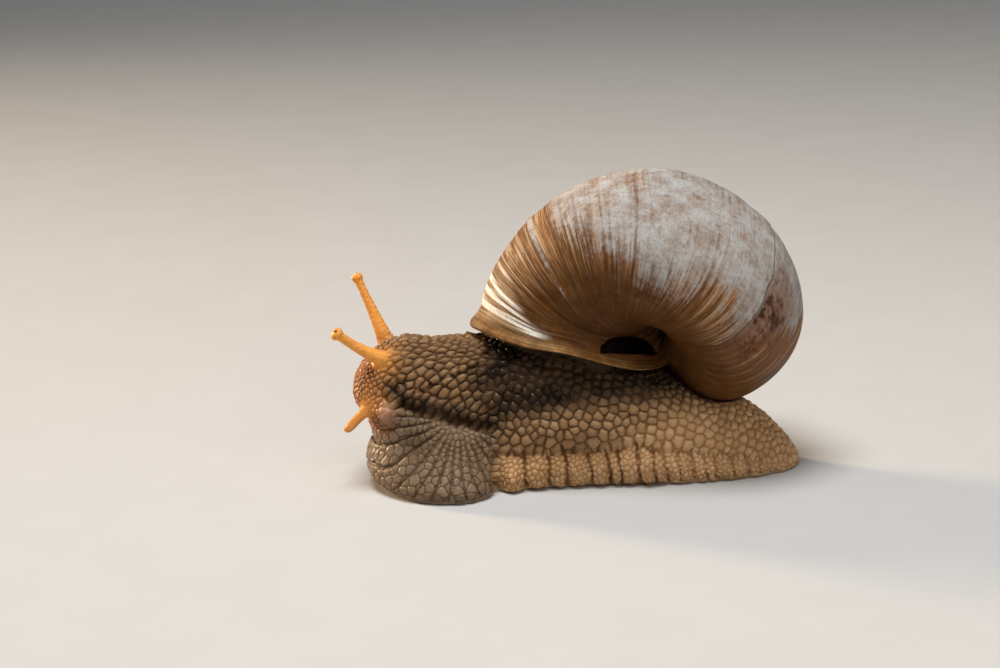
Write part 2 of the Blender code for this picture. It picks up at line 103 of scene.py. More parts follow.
LEAN_PLACE = np.array([21.9, -1.8, 16.4])   # where that whorl leans towards the navel
LEAN = np.array([-1.7, -0.5, 0.0])
NAVEL_HALF_WIDTH, NAVEL_HEIGHT, NAVEL_RIM = 3.55, 2.55, 0.42
LIP_ROLL = (0.34, -0.045, 0.04)             # height, turn and width of the lip's roll, and the
LIP_NECK = (0.16, -0.15, 0.045)             # depth, turn and width of the groove behind it

# ---- marks of growth ----
STRIP_RADIUS = 11.0                         # makes millimetres of the angle in a section
GROWTH_RIDGES = ((-0.82, 0.26, 0.03), (-1.03, 0.16, 0.022), (-0.33, 0.12, 0.02), (-1.75, 0.08, 0.03))
GROWTH_REST = -2.9                          # turn; each ridge above has its turn, height and width
STAIN_MIDDLE = np.array([32.6, -10.0, 21.6])

# ---- feelers: base, tip, sag, radii from base to tip, and radius of the ball at the tip ----
FEELERS = {
    "tentacle_upper_left": ((-11.9, -2.9, 16.0), (-19.6, -5.0, 20.9), 0.25,
                            (1.85, 1.52, 1.25, 1.08, 0.97, 0.89, 0.83, 0.78, 0.73, 0.69, 0.65, 0.61, 0.59,
                             0.58, 0.57, 0.56, 0.55), 0.82),
    "tentacle_upper_right": ((-13.2, 3.2, 16.2), (-17.1, 5.8, 25.4), -0.04,
                             (1.5, 1.26, 1.08, 0.95, 0.86, 0.79, 0.74, 0.69, 0.65, 0.61, 0.58, 0.55, 0.54,
                              0.53, 0.52, 0.51, 0.5), 0.74),
    "tentacle_lower_left": ((-13.9, -2.9, 12.3), (-18.9, -4.1, 7.9), -0.04,
                            (1.7, 1.4, 1.12, 0.88, 0.72, 0.62, 0.58, 0.57, 0.57, 0.44), 0.0),
    "tentacle_lower_right": ((-14.4, 2.7, 11.0), (-16.9, 5.2, 9.3), 0.1,
                             (0.8, 0.72, 0.64, 0.6, 0.58, 0.56, 0.52, 0.36), 0.0),
}
EYE_RADIUS = 0.25
EYE_SUNK = 0.12         # the eye's middle lies this far under the skin of the feeler's ball
GAP_SWELL = 0.24        # closes the gaps between the CAD nodes, and is taken off again
FLESH = ("head", "neck", "trunk", "tail", "foot_front", "foot_middle", "lip_left", "lip_right",
         "mantle_collar")

VOXEL = 0.11         # edge length of the skin's mesh
SHELL_STEPS = 920     # rings in one turn of the last whorl
SHELL_SIDES = 230
SOWN_SHARE = 0.3      # share of the skin's vertices that may become a tubercle
SEED_GAP = 0.8                          # smallest gap between two tubercles, over their spacing


# ---------------------------------------------------------------- numbers

NOISE_NUMBERS = 8192                                    # a power of two
LATTICE_STEPS = (73856093, 19349663, 83492791)          # large primes that scatter the lattice's cells


def smoothstep(low, high, value):
    share = np.clip((value - low) / (high - low), 0.0, 1.0)
    return share * share * (3.0 - 2.0 * share)


def between(value, low, low_full, high_full, high):
    """1 from low_full to high_full, going smoothly to 0 at low and at high."""
    return smoothstep(low, low_full, value) * smoothstep(high, high_full, value)


def bump(value, centre, spread):
    return np.exp(-((value - centre) / spread) ** 2)


def turned_bump(angle, centre, spread):
    """bump() round a circle, with angle in radians and the other two in degrees."""
    apart = (np.degrees(angle) - centre + 180.0) % 360.0 - 180.0
    return np.exp(-(apart / spread) ** 2)


def blob(points, place, square):
    """1 at a place, less away from it: square is the spread times itself."""
    return np.exp(-((points - place) ** 2).sum(-1) / square)


def noise(places, size, seed):
    """Smooth random numbers from -1 to 1 on a lattice of this size, for (n, 1 to 3) places."""
    places = np.asarray(places, float)
    if places.ndim == 1:
        places = places[:, None]
    table = np.random.default_rng(seed).uniform(-1.0, 1.0, NOISE_NUMBERS)
    scaled = places / size
    cell = np.floor(scaled).astype(np.int64)
    inner = scaled - cell
    inner = inner * inner * (3.0 - 2.0 * inner)
    total = np.zeros(len(places))
    for corner in range(2 ** places.shape[1]):
        key = np.zeros(len(places), np.int64)
        weight = np.ones(len(places))
        for axis, step in zip(range(places.shape[1]), LATTICE_STEPS):
            far = corner >> axis & 1
            key ^= (cell[:, axis] + far) * step
            weight *= inner[:, axis] if far else 1.0 - inner[:, axis]
        total += weight * table[key & (NOISE_NUMBERS - 1)]
    return total


def layered(places, size, seed, layers=3):
    """Noise at several sizes, each half of the last."""
    total = sum(noise(places, size / 2 ** i, seed + i) / 2 ** i for i in range(layers))
    return total / sum(1 / 2 ** i for i in range(layers))


def to_frame(points):
    return ORIGIN + np.asarray(points) * MM


def unit(vectors):
    return vectors / np.maximum(np.linalg.norm(vectors, axis=-1, keepdims=True), 1e-12)


# ---------------------------------------------------------------- meshes

def linked(name, data):
    """New object with this data, in the scene."""
    made = bpy.data.objects.new(name, data)
    bpy.context.scene.collection.objects.link(made)
    return made


def mesh_of(name, data):
    """Mesh from a bmesh, which is freed."""
    mesh = bpy.data.meshes.new(name)
    data.to_mesh(mesh)
    data.free()
    return mesh


def mesh_object(name, points, faces):
    """Smooth object in the row frame, from points in millimetres and faces of equal length."""
    mesh = bpy.data.meshes.new(name)
    mesh.vertices.add(len(points))
    mesh.vertices.foreach_set("co", to_frame(points).astype(np.float32).ravel())
    faces = np.asarray(faces, np.int32)
    mesh.loops.add(faces.size)
    mesh.loops.foreach_set("vertex_index", faces.ravel())
    mesh.polygons.add(len(faces))
    mesh.polygons.foreach_set("loop_start", np.arange(0, faces.size, faces.shape[1], dtype=np.int32))
    mesh.update(calc_edges=True)
    mesh.validate()
    mesh.shade_smooth()
    return linked(name, mesh)


def read(items, name, kind=np.int32, width=1):
    found = np.empty(len(items) * width, kind)
    items.foreach_get(name, found)
    return found


def points_of(mesh):
    return read(mesh.vertices, "co", np.float32, 3).reshape(-1, 3).astype(float)


def quads_of(mesh):
    """Each face's corners; a triangle repeats its last one."""
    start, count = read(mesh.polygons, "loop_start"), read(mesh.polygons, "loop_total")
    corner = read(mesh.loops, "vertex_index")
    return np.stack([corner[start + np.minimum(i, count - 1)] for i in range(4)], 1)


def vertex_normals(points, quads):
    a, b, c, d = (points[quads[:, i]] for i in range(4))
    face = np.cross(c - a, d - b)
    total = np.zeros_like(points)
    for i in range(4):
        for axis in range(3):
            total[:, axis] += np.bincount(quads[:, i], face[:, axis], len(points))
    return unit(total)


def add_numbers(mesh, **numbers):
    for name, values in numbers.items():
        attribute = mesh.attributes.new(name, "FLOAT", "POINT")
        attribute.data.foreach_set("value", values.astype(np.float32))


def add_uv(mesh, places):
    """UV map of the bake, from one place per vertex."""
    corners = places[read(mesh.loops, "vertex_index")]
    mesh.uv_layers.new(name="OFBake").data.foreach_set("uv", corners.astype(np.float32).ravel())


# ---------------------------------------------------------------- shell

def shell_frame():
    axis = np.array([math.cos(AXIS_AZIMUTH) * math.cos(AXIS_ELEVATION),
                     math.sin(AXIS_AZIMUTH) * math.cos(AXIS_ELEVATION), math.sin(AXIS_ELEVATION)])
    forward = np.array([-1.0, 0.0, 0.0])
    forward = unit(forward - axis * (forward @ axis))
    return axis, forward, np.cross(axis, forward)


def tube_points(turn, around, swell=0.0):
    """Points of the shell's tube: turn is the angle round the axis, around the one in the section."""
    axis, forward, across = shell_frame()
    turn, around, swell = np.broadcast_arrays(turn, around, swell)
    slanted = turn + GROWTH_SLANT * np.sin(around)
    size = MOUTH_RADIUS * TURN_GROWTH ** (slanted / math.tau)
    cosine, sine = np.cos(around), np.sin(around)
    reach = (np.abs(cosine) ** TUBE_SQUARENESS + np.abs(sine) ** TUBE_SQUARENESS) ** (-1 / TUBE_SQUARENESS)
    flare = LIP_FLARE * smoothstep(-LIP_LENGTH, 0.0, turn)
    flare = flare + LIP_ROLL[0] * bump(turn, *LIP_ROLL[1:]) - LIP_NECK[0] * bump(turn, *LIP_NECK[1:])
    out = np.maximum(0.012 * size, size * (TUBE_OFFSET + reach * cosine) + (swell + flare) * cosine)
    up = size * (-TUBE_DROP + TUBE_TALLNESS * reach * sine) + (swell + flare) * sine
    up = up - SPIRE_SINK * smoothstep(0.5, 1.8, -slanted / math.tau)
    angle = MOUTH_TURN - slanted
    near = smoothstep(-FOLD_LENGTH, 0.0, turn)
    inner = np.maximum(0.0, -np.cos(around - COLUMELLA_ANGLE)) ** 4
    lift = LIP_LIFT * turned_bump(around, -131.0, 29.0) * smoothstep(-LIP_LIFT_LENGTH, 0.0, turn)
    flange = turned_bump(around, 176.0, 24.0) * smoothstep(-0.24, -0.13, turn)
    level = forward * np.cos(angle)[..., None] + across * np.sin(angle)[..., None]
    points = (APEX + level * out[..., None]
              + axis * up[..., None]
              + COLUMELLA_DROP * (inner * near)[..., None]
              + FOLD_REACH * (turned_bump(around, -178.0, 21.0) * near)[..., None]
              + FLANGE_REACH * flange[..., None]
              + np.array([0.0, 0.0, 1.0]) * lift[..., None])
    lean = blob(points, LEAN_PLACE, 4.6) * smoothstep(-1.5, -2.0, turn)
    points = points + LEAN * lean[..., None]
    return points + NAVEL_IN * (NAVEL_DEPTH * navel_share(points, turn))[..., None]


def navel_share(points, turn, reach=4.0):
    """How far a point is pushed into the navel: 1 inside its arch, 0 outside."""
    apart = points - NAVEL
    across, height = apart[..., 0], apart @ NAVEL_UP
    floor = -1.42 - 0.07 * across
    arch = floor + NAVEL_HEIGHT * np.sqrt(np.maximum(0.0, 1.0 - np.abs(across / NAVEL_HALF_WIDTH) ** 2.2))
    open_here = smoothstep(0.0, NAVEL_RIM, height - floor) * smoothstep(0.0, NAVEL_RIM, arch - height)
    near = smoothstep(-0.62, -0.5, turn) * smoothstep(reach + 1.5, reach, np.abs(apart[..., 1]))
    return open_here * near


def growth_length(turn):
    """Millimetres along the tube's outermost line, from the mouth and negative behind it."""
    whole = (TUBE_OFFSET + 1.0) * MOUTH_RADIUS * math.tau / math.log(TURN_GROWTH)
    return whole * (TURN_GROWTH ** (turn / math.tau) - 1.0)


def inside_another_whorl(points, own_turn, margin=0.985):
    """Whether each point lies inside the tube of another whorl, away from its surface."""
    axis, forward, across = shell_frame()
    apart = points - APEX
    up = apart @ axis
    level = apart - up[:, None] * axis
    out = np.linalg.norm(level, axis=1)
    angle = np.arctan2(level @ across, level @ forward)
    first = (MOUTH_TURN - angle) % math.tau
    inside = np.zeros(len(points), bool)
    for whorl in range(0, 5):
        slanted = first - math.tau * whorl
        size = MOUTH_RADIUS * TURN_GROWTH ** (slanted / math.tau)
        sunk = SPIRE_SINK * smoothstep(0.5, 1.8, -slanted / math.tau)
        wide = (out - size * TUBE_OFFSET) / size
        tall = (up + sunk + size * TUBE_DROP) / (size * TUBE_TALLNESS)
        reach = ((np.abs(wide) ** TUBE_SQUARENESS + np.abs(tall) ** TUBE_SQUARENESS)
                 ** (1 / TUBE_SQUARENESS))
        turn = slanted - GROWTH_SLANT * np.sin(np.arctan2(tall * TUBE_TALLNESS, wide))
        # Nothing counts as hidden by the part near the mouth, which is hollow and folded.
        inside |= ((reach < margin) & (turn < -0.75) & (turn > -WHORLS * math.tau)
                   & (np.abs(turn - own_turn) > 1.6))
    return inside


def shell_rings():
    """Turn and swell of each ring from the first whorl to the lip and back inside the mouth.

    The third value is the number of rings up to the middle of the lip's edge.
    """
    inner = np.linspace(-WHORLS, -2.0, int(SHELL_STEPS * 0.45 * 1.6))
    middle = np.linspace(-2.0, -1.02, int(SHELL_STEPS * 0.62 * 0.98))
    last = np.linspace(-1.02, 0.0, int(SHELL_STEPS * 1.02))
    outer = np.concatenate([inner[:-1], middle[:-1], last]) * math.tau
    outer = outer[outer < -LIP_EDGE]
    closing = np.linspace(1.0, 0.0, 14)[:-1]        # the first whorl's rounded end
    outer = np.concatenate([outer[0] - 0.95 * closing, outer])
    outer_swell = np.zeros(len(outer))
    first_size = MOUTH_RADIUS * TURN_GROWTH ** -WHORLS
    outer_swell[: len(closing)] = -0.95 * first_size * (1.0 - np.sqrt(1.0 - closing ** 2))
    round_lip = np.linspace(0.0, math.pi, 17)
    inside = np.linspace(-LIP_EDGE, -0.42, 30)[1:]
    turns = np.concatenate([outer, -LIP_EDGE * (1.0 - np.sin(round_lip)), inside])
    swells = [outer_swell, -WALL / 2 * (1.0 - np.cos(round_lip)), np.full(len(inside), -WALL)]
    return turns, np.concatenate(swells), len(outer) + len(round_lip) // 2


def shell_surface(turn, around, points, outside):
    """Relief of the shell's outside in millimetres, its place on the strip, and its masks from 0 to 1."""
    along = growth_length(turn)
    girth = around * STRIP_RADIUS * TURN_GROWTH ** (turn / math.tau)
    strip = np.stack([along, girth], 1)
    wavy = along + 0.9 * noise(strip, 9.0, 3)
    streaked = np.stack([wavy, girth * 0.06], 1)
    fine, middle, broad = noise(streaked, 0.42, 11), noise(streaked, 0.95, 12), noise(streaked, 2.9, 13)
    fresh = smoothstep(-30.0, -4.0, along)
    worn = smoothstep(-14.0, -60.0, along)
    patchy = 0.5 + 0.5 * noise(strip, 7.0, 14)
    low = turned_bump(around, -90.0, 55.0)
    relief = (0.026 + 0.062 * fresh) * fine * (0.35 + 0.65 * patchy)
    relief += (0.034 + 0.062 * fresh) * middle + 0.055 * broad
    relief += 0.1 * layered(points, 9.0, 21, 2) + 0.018 * worn * layered(points, 1.1, 24, 3)
    ledge_wave = 0.05 * noise(girth, 4.0, 31)
    for place, height, width in GROWTH_RIDGES:
        apart = turn - place - ledge_wave * 0.25
        relief += height * np.exp(-np.abs(apart / width) ** 1.5) * (0.55 + 0.45 * low)
        relief += 0.1 * height * between(apart, -0.1, 0.0, 0.0, 0.5)
    # The ragged line where growth rested: a step up to the newer shell, and a crack.
    rest = GROWTH_REST
    for size, seed, height in ((5.0, 33, 0.035), (1.4, 34, 0.018), (0.5, 35, 0.006)):
        rest = rest + height * noise(girth, size, seed)
    past_rest = (turn - rest) * 16.0        # roughly in millimetres
    relief += 0.13 * between(past_rest, -0.3, 0.1, 0.1, 4.5)
    relief -= 0.14 * bump(past_rest, 0.0, 0.16)

    streak = 0.5 * noise(np.stack([along, girth * 0.07], 1), 3.4, 41) + 0.35 * broad + 0.25 * middle
    cloud = layered(points, 11.0, 44, 3)
    speck = layered(points, 3.2, 48, 4)
    # Chalky white grows with height and brown shrinks a little: partly weathering of the older whorls,
    # partly painted light from above.
    height = smoothstep(21.5, 33.0, points[:, 2] + 0.42 * (points[:, 0] - 20.0))
    base_side = turned_bump(around, -112.0, 50.0)
    young = smoothstep(-44.0, -12.0, along)
    white = -0.06 + height - 0.25 * base_side - 0.58 * young + 0.38 * cloud + 0.38 * speck + 0.28 * streak
    white += smoothstep(0.4, -0.4, past_rest) * (0.46 - 1.1 * smoothstep(23.5, 13.5, points[:, 2]))
    pale_ridge = bump(turn + 0.02 * streak, -0.84, 0.02) * turned_bump(around, -64.0, 56.0)
    # Painted shade on the shell's underside: more of the dark golden colour lower down.
    painted_low_shade = smoothstep(20.0, 12.0, points[:, 2]) * 0.7
    older = between(past_rest, -17.0, -6.0, -0.5, 0.0)
    spot = blob(points, STAIN_MIDDLE, 22.0)
    lower = np.degrees(around)
    reach = -0.17 - 0.25 * smoothstep(-108.0, -50.0, lower)     # how far back the pale wedge goes
    wedge = smoothstep(reach - 0.09, reach, turn + 0.06 * streak) * smoothstep(-116.0, -98.0, lower)
    # Darker brown round the navel, partly the shell's own colour and partly painted shade, with painted
    # shade on the lip's inner end.
    navel_brown_and_shade = blob(points, NAVEL, 50.0) * smoothstep(-0.16, -0.24, turn)
    return relief, np.stack([along, girth, 0 * girth], 1), {
        "white": smoothstep(-0.2, 0.95, white + 1.3 * pale_ridge),
        "brown": smoothstep(0.0, 0.75, 0.3 + 0.85 * streak + 0.35 * young - 0.1 * height + 0.3 * speck),
        "gold": smoothstep(0.2, 0.85, base_side + 0.15 * cloud + 0.12 * streak + painted_low_shade),
        "stain": older * smoothstep(-0.15, 0.3, 0.8 * speck + 1.1 * spot - 0.25) * (0.3 + 0.7 * spot),
        "crack": np.clip(bump(past_rest, 0.0, 0.13) * (0.55 + 0.45 * noise(girth, 2.0, 52)), 0, 1),
        "lip": np.maximum(smoothstep(-0.13, -0.08, turn), 1.0 - outside),
        "cream": wedge * smoothstep(0.0, -35.0, lower),
        # Near black inside the navel: dirt together with painted shade in the hole.
        "navel": smoothstep(0.02, 0.35, navel_share(points, turn, 9.0)),
        "navel_brown_and_shade": np.maximum(navel_brown_and_shade, blob(points, NAVEL_END, 9.0))}


def build_shell():
    turns, swells, outer_rings = shell_rings()
    rows, sides = len(turns), SHELL_SIDES + 1
    turn_grid, around_grid = np.meshgrid(turns, np.linspace(-math.pi, math.pi, sides), indexing="ij")
    swell_grid = np.broadcast_to(swells[:, None], turn_grid.shape)
    base = tube_points(turn_grid, around_grid, swell_grid)
    outward = unit(np.cross(np.gradient(base, axis=1), np.gradient(base, axis=0))).reshape(-1, 3)
    flat = base.reshape(-1, 3)
    centre_out = flat - tube_points(turn_grid, around_grid, swell_grid - 0.5).reshape(-1, 3)
    outward = outward * np.sign((outward * centre_out).sum(1, keepdims=True))
    turn, around = turn_grid.ravel(), around_grid.ravel()
    ring = np.repeat(np.arange(rows), sides)
    outside = smoothstep(outer_rings + 2.0, outer_rings - 8.0, ring.astype(float))
    tiny = smoothstep(0.3, 2.0, MOUTH_RADIUS * TURN_GROWTH ** (turn / math.tau))
    relief, strip, masks = shell_surface(turn, around, flat, outside)
    points = flat + outward * (relief * outside * tiny)[:, None]
    points[np.abs(around - math.pi) < 1e-9] = points[np.abs(around + math.pi) < 1e-9]

    index = np.arange(rows * sides).reshape(rows, sides)
    faces = np.stack([index[:-1, :-1], index[:-1, 1:], index[1:, 1:], index[1:, :-1]], -1).reshape(-1, 4)
    hidden = inside_another_whorl(flat, turn) & (ring < outer_rings)
    faces = faces[~hidden[faces].all(1)]
    used = np.zeros(len(points), bool)
    used[faces.ravel()] = True
    shell = mesh_object("snail_shell", points[used], (np.cumsum(used) - 1)[faces])

    add_numbers(shell.data, **{name: values[used] for name, values in masks.items()})
    place = shell.data.attributes.new("strip", "FLOAT_VECTOR", "POINT")
    place.data.foreach_set("vector", strip[used].astype(np.float32).ravel())
    # The unrolled tube: its length across the map, its girth up the map, shorter on early whorls.
    along = strip[:, 0]
    share = (along - along.min()) / (along.max() - along.min())
    inner_share = (ring - outer_rings) / (rows - outer_rings)
    across = np.where(ring < outer_rings, 0.93 * share, 0.94 + 0.055 * inner_share)
    tall = 0.5 + (around / math.tau) * 0.98 * np.maximum(0.12, TURN_GROWTH ** (turn / math.tau))
    add_uv(shell.data, np.stack([0.004 + 0.99 * across, tall], 1)[used])
    return shell


# ---------------------------------------------------------------- skin: base shape

def fine_feeler(base, tip, sag, radii, ball):
    """Centre line and radii of a feeler in small steps, with a rounded end or a ball."""
    base, tip = np.array(base), np.array(tip)
    share = (np.arange(len(radii)) / (len(radii) - 1)) ** 0.92
    coarse = base + (tip - base) * share[:, None]
    coarse[:, 2] -= sag * np.linalg.norm(tip - base) * 0.25 * np.sin(math.pi * share)
    end = unit(coarse[-1] - coarse[-2])
    coarse = np.vstack([coarse[0] - unit(coarse[1] - coarse[0]) * 1.2, coarse])
    radii = np.concatenate([[radii[0] * 1.1], radii])
    length = np.concatenate([[0], np.cumsum(np.linalg.norm(np.diff(coarse, axis=0), axis=1))])
    fine = np.linspace(0, length[-1], 120)
    line = np.stack([np.interp(fine, length, coarse[:, i]) for i in range(3)], 1)
    size = np.interp(fine, length, radii)
    for _ in range(10):
        for row in (line, size):
            row[1:-1] = 0.25 * row[:-2] + 0.5 * row[1:-1] + 0.25 * row[2:]
    cap = np.linspace(0, math.pi / 2, 9)[1:]
    line = np.vstack([line, line[-1] + end * (np.sin(cap) * radii[-1] * 0.75)[:, None]])
    size = np.concatenate([size, radii[-1] * np.maximum(np.cos(cap), 0.04)])
    if ball:
        from_end = np.linalg.norm(line - line[-1], axis=1)
        rounded = np.sqrt(np.maximum(ball ** 2 - (from_end - ball) ** 2, 0.0016))
        size = np.where(from_end < ball, rounded, np.maximum(size, rounded))
    return line, size


def add_tube(data, line, size, sides=28):
    """Closed tube along a line, added to a bmesh."""
    side = unit(np.cross(unit(np.gradient(line, axis=0)), np.array([0.0, 1.0, 0.2])))
    third = np.cross(unit(np.gradient(line, axis=0)), side)
    angle = np.linspace(0, math.tau, sides, endpoint=False)[:, None]
    rings = [[data.verts.new(place) for place in middle + radius * (np.cos(angle) * a + np.sin(angle) * b)]
             for middle, radius, a, b in zip(line, size, side, third)]
    for before, after in zip(rings, rings[1:]):
        for i in range(sides):
            j = (i + 1) % sides
            data.faces.new((before[i], before[j], after[j], after[i]))
    for ring, middle in ((rings[0][::-1], line[0]), (rings[-1], line[-1])):
        tip = data.verts.new(middle)
        for i in range(sides):
            data.faces.new((ring[i], ring[(i + 1) % sides], tip))


def voxel_mesh(data, size):
    """Closed skin round all the closed meshes in a bmesh, as points and quads."""
    work = linked("skin_base", mesh_of("skin_base", data))
    modifier = work.modifiers.new("remesh", "REMESH")
    modifier.mode = "VOXEL"
    modifier.voxel_size = size
    modifier.adaptivity = 0.0
    bpy.context.view_layer.update()
    made = bpy.data.meshes.new_from_object(work.evaluated_get(bpy.context.evaluated_depsgraph_get()))
    points, quads = points_of(made), quads_of(made)
    bpy.data.objects.remove(work)
    bpy.data.meshes.remove(made)
    return largest_piece(points, quads)


def largest_piece(points, quads):
    """Only the piece with the most vertices, as inner hollows leave pieces of their own."""
    label = np.arange(len(points))
    while True:
        lowest = label[quads].min(1)
        new = label.copy()
        for i in range(4):
            np.minimum.at(new, quads[:, i], lowest)
        new = new[new]
        if (new == label).all():
            break
        label = new
    keep = label == np.bincount(label).argmax()
    place = np.cumsum(keep) - 1
    return points[keep], place[quads[keep[quads[:, 0]]]]


def edges_of(quads):
    pairs = np.concatenate([quads[:, [0, 1]], quads[:, [1, 2]], quads[:, [2, 3]], quads[:, [3, 0]]])
    pairs = np.sort(pairs[pairs[:, 0] != pairs[:, 1]], axis=1)
    keys = np.unique(pairs[:, 0].astype(np.int64) * (pairs.max() + 1) + pairs[:, 1])
    return np.stack([keys // (pairs.max() + 1), keys % (pairs.max() + 1)], 1)


def smoothed(values, edges, count, amount):
    """values moved towards the mean of their neighbours, count times, by amount at each vertex."""
    a, b = edges[:, 0], edges[:, 1]
    total = len(values)
    degree = np.bincount(a, minlength=total) + np.bincount(b, minlength=total)
    amount = np.broadcast_to(amount, total)
    values = values.copy()
    columns = values.reshape(total, -1)
    for _ in range(count):
        for i in range(columns.shape[1]):
            column = columns[:, i]
            mean = (np.bincount(a, column[b], total) + np.bincount(b, column[a], total)) / degree
            columns[:, i] = column + amount * (mean - column)
    return values


def nearest_on_line(points, line, size):
    """For each point: distance to the line over the line's radius there, and share along the line."""
    best = np.full(len(points), 1e9)
    share = np.zeros(len(points))
    for i in range(0, len(line), 2):
        ratio = np.linalg.norm(points - line[i], axis=1) / max(size[i], 0.35)
        closer = ratio < best
        best[closer] = ratio[closer]
        share[closer] = i / (len(line) - 1)
    return best, share


def build_skin_base():
    """Flesh of the CAD nodes and the feelers as one closed, smoothed skin, without its folds.

    Besides the mesh and the feelers' lines, it gives how much each vertex belongs to a feeler, and
    how much of the feelers' orange it has, partly their colour and partly painted glow.
    """
    data = bmesh.new()
    for name in FLESH:
        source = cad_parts[name].data
        part = bmesh.new()
        part.from_mesh(source)
        for vertex, place in zip(part.verts, (points_of(source) - ORIGIN) / MM):
            vertex.co = place
        bmesh.ops.remove_doubles(part, verts=part.verts, dist=1e-3)
        bmesh.ops.recalc_face_normals(part, faces=part.faces)
        part.normal_update()
        for vertex in part.verts:
            vertex.co += vertex.normal * GAP_SWELL
        grown = mesh_of(name + "_grown", part)
        data.from_mesh(grown)
        bpy.data.meshes.remove(grown)
    lines = {name: fine_feeler(*feeler) for name, feeler in FEELERS.items()}
    for line, size in lines.values():
        add_tube(data, line, size + GAP_SWELL)
    points, quads = voxel_mesh(data, VOXEL)
    edges = edges_of(quads)
    feeler, flush = np.zeros(len(points)), np.zeros(len(points))
    for name, (line, size) in lines.items():
        ratio, share = nearest_on_line(points, line, size)
        feeler = np.maximum(feeler, smoothstep(1.9, 1.3, ratio) * smoothstep(0.1, 0.28, share))
        # The upper feelers get the stronger orange, as painted glow of the warm light shining through
        # them.
        pale = 1.0 if "upper" in name else 0.72
        flush = np.maximum(flush, pale * smoothstep(2.3, 1.1, ratio) * smoothstep(0.0, 0.42, share))
    rounds = int(round(44 * (0.13 / VOXEL) ** 2))       # the same smoothing at any VOXEL
    points = smoothed(points, edges, rounds, 0.5 * (1.0 - 0.93 * feeler))
    points = points - vertex_normals(points, quads) * (GAP_SWELL - 0.02)
    return points, quads, edges, lines, feeler, flush


# ---------------------------------------------------------------- skin: folds, fringe and tubercles

# Lines are (x, z) in millimetres. The groove runs above the fringe, the crease above the front lobes.
GROOVE_LINE = ((-17, 5.4), (-5, 5.2), (-1, 4.8), (3, 4.6), (14, 4.9), (22, 4.2), (28, 3.2), (33, 2.2),
               (38, 0.6))
LOBES_LEFT = (-0.4, 3.1, 6.1, 8.2, 11.3, 13.5, 14.9, 17.3, 19.2, 20.6, 22.3, 24.0, 25.5, 26.9, 28.9, 30.8,
              32.6)                         # x of the furrows between the fringe's lobes
LOBES_RIGHT = (-0.4, 2.6, 5.2, 7.9, 9.8, 12.4, 14.6, 16.3, 18.7, 20.4, 22.6, 24.2, 26.1, 27.6, 29.7, 31.5)
CREASE_LINE = ((-15.8, 8.9), (-14.4, 9.6), (-13.0, 11.0), (-11.9, 11.5), (-9.5, 10.7), (-7.7, 10.1),
               (-5.9, 9.6), (-3.7, 9.1), (-2.2, 8.6), (-0.4, 8.2), (3.0, 7.6))
NECK_FOLD = ((-10.6, 12.9), (-9.5, 13.1), (-7.8, 13.7), (-6.3, 14.3), (-5.0, 14.8), (-3.5, 15.5),
             (-1.0, 16.7))
SHORT_FOLDS = ((-8.2, 12.1, 0.42, 2.6, 0.2), (-3.6, 12.6, 0.35, 3.2, 0.2),
               (-11.8, 13.5, 0.75, 2.0, 0.24))      # x, z, slope in radians, length and depth
BULGING_LOBE = (18.3, 3.3)                  # x and z of the one lobe that stands out, on the left
SIDE_LOBE = (-13.5, 5.5, 10.6)              # the lip's side lobe, on each side
BREATHING_HOLE = (-0.95, 3.7, 17.4)
MOUTH_HEIGHT = 8.7
FAN_CENTRE = np.array([-4.6, 0.0, 9.8])     # the front foot's furrows run out from here, on each side
FAN_FURROWS = 31                            # furrows in a full turn round that centre
SHELL_GAP = 0.12                            # smallest gap between the skin and the CAD shell


def groove_height(x):
    table = np.array(GROOVE_LINE)
    return np.interp(x, table[:, 0], table[:, 1]) + 0.9 * bump(x, 16.9, 1.3)


def height_above(line, x, z):
    table = np.array(line)
    return z - np.interp(x, table[:, 0], table[:, 1])


def near_place(points, place, spread):
    """1 at a place and at its mirror image on the other side, less away from them."""
    return blob(np.stack([points[:, 0], np.abs(points[:, 1]), points[:, 2]], 1), place, spread ** 2)


def blended(value, *parts):
    """value drawn towards each part's (share, value) in turn."""
    for share, part in parts:
        value = value + share * (part - value)
    return value


def lobe_shape(x, y, wander):
    """(furrow, swell) of the fringe's lobes: 1 in a furrow between lobes, 1 in a lobe's middle."""
    furrow, swell = np.zeros(len(x)), np.zeros(len(x))
    for side, edges in ((y < 0, LOBES_LEFT), (y >= 0, LOBES_RIGHT)):
        edges = np.array(edges)
        place = x[side] + wander[side]
        index = np.clip(np.searchsorted(edges, place), 1, len(edges) - 1)
        before, after = edges[index - 1], edges[index]
        share = np.clip((place - before) / (after - before), 0.0, 1.0)
        apart = np.minimum(np.abs(place - before), np.abs(place - after))
        furrow[side] = bump(apart, 0.0, 0.16)
        swell[side] = np.sin(math.pi * share) ** 0.8
    return furrow, swell


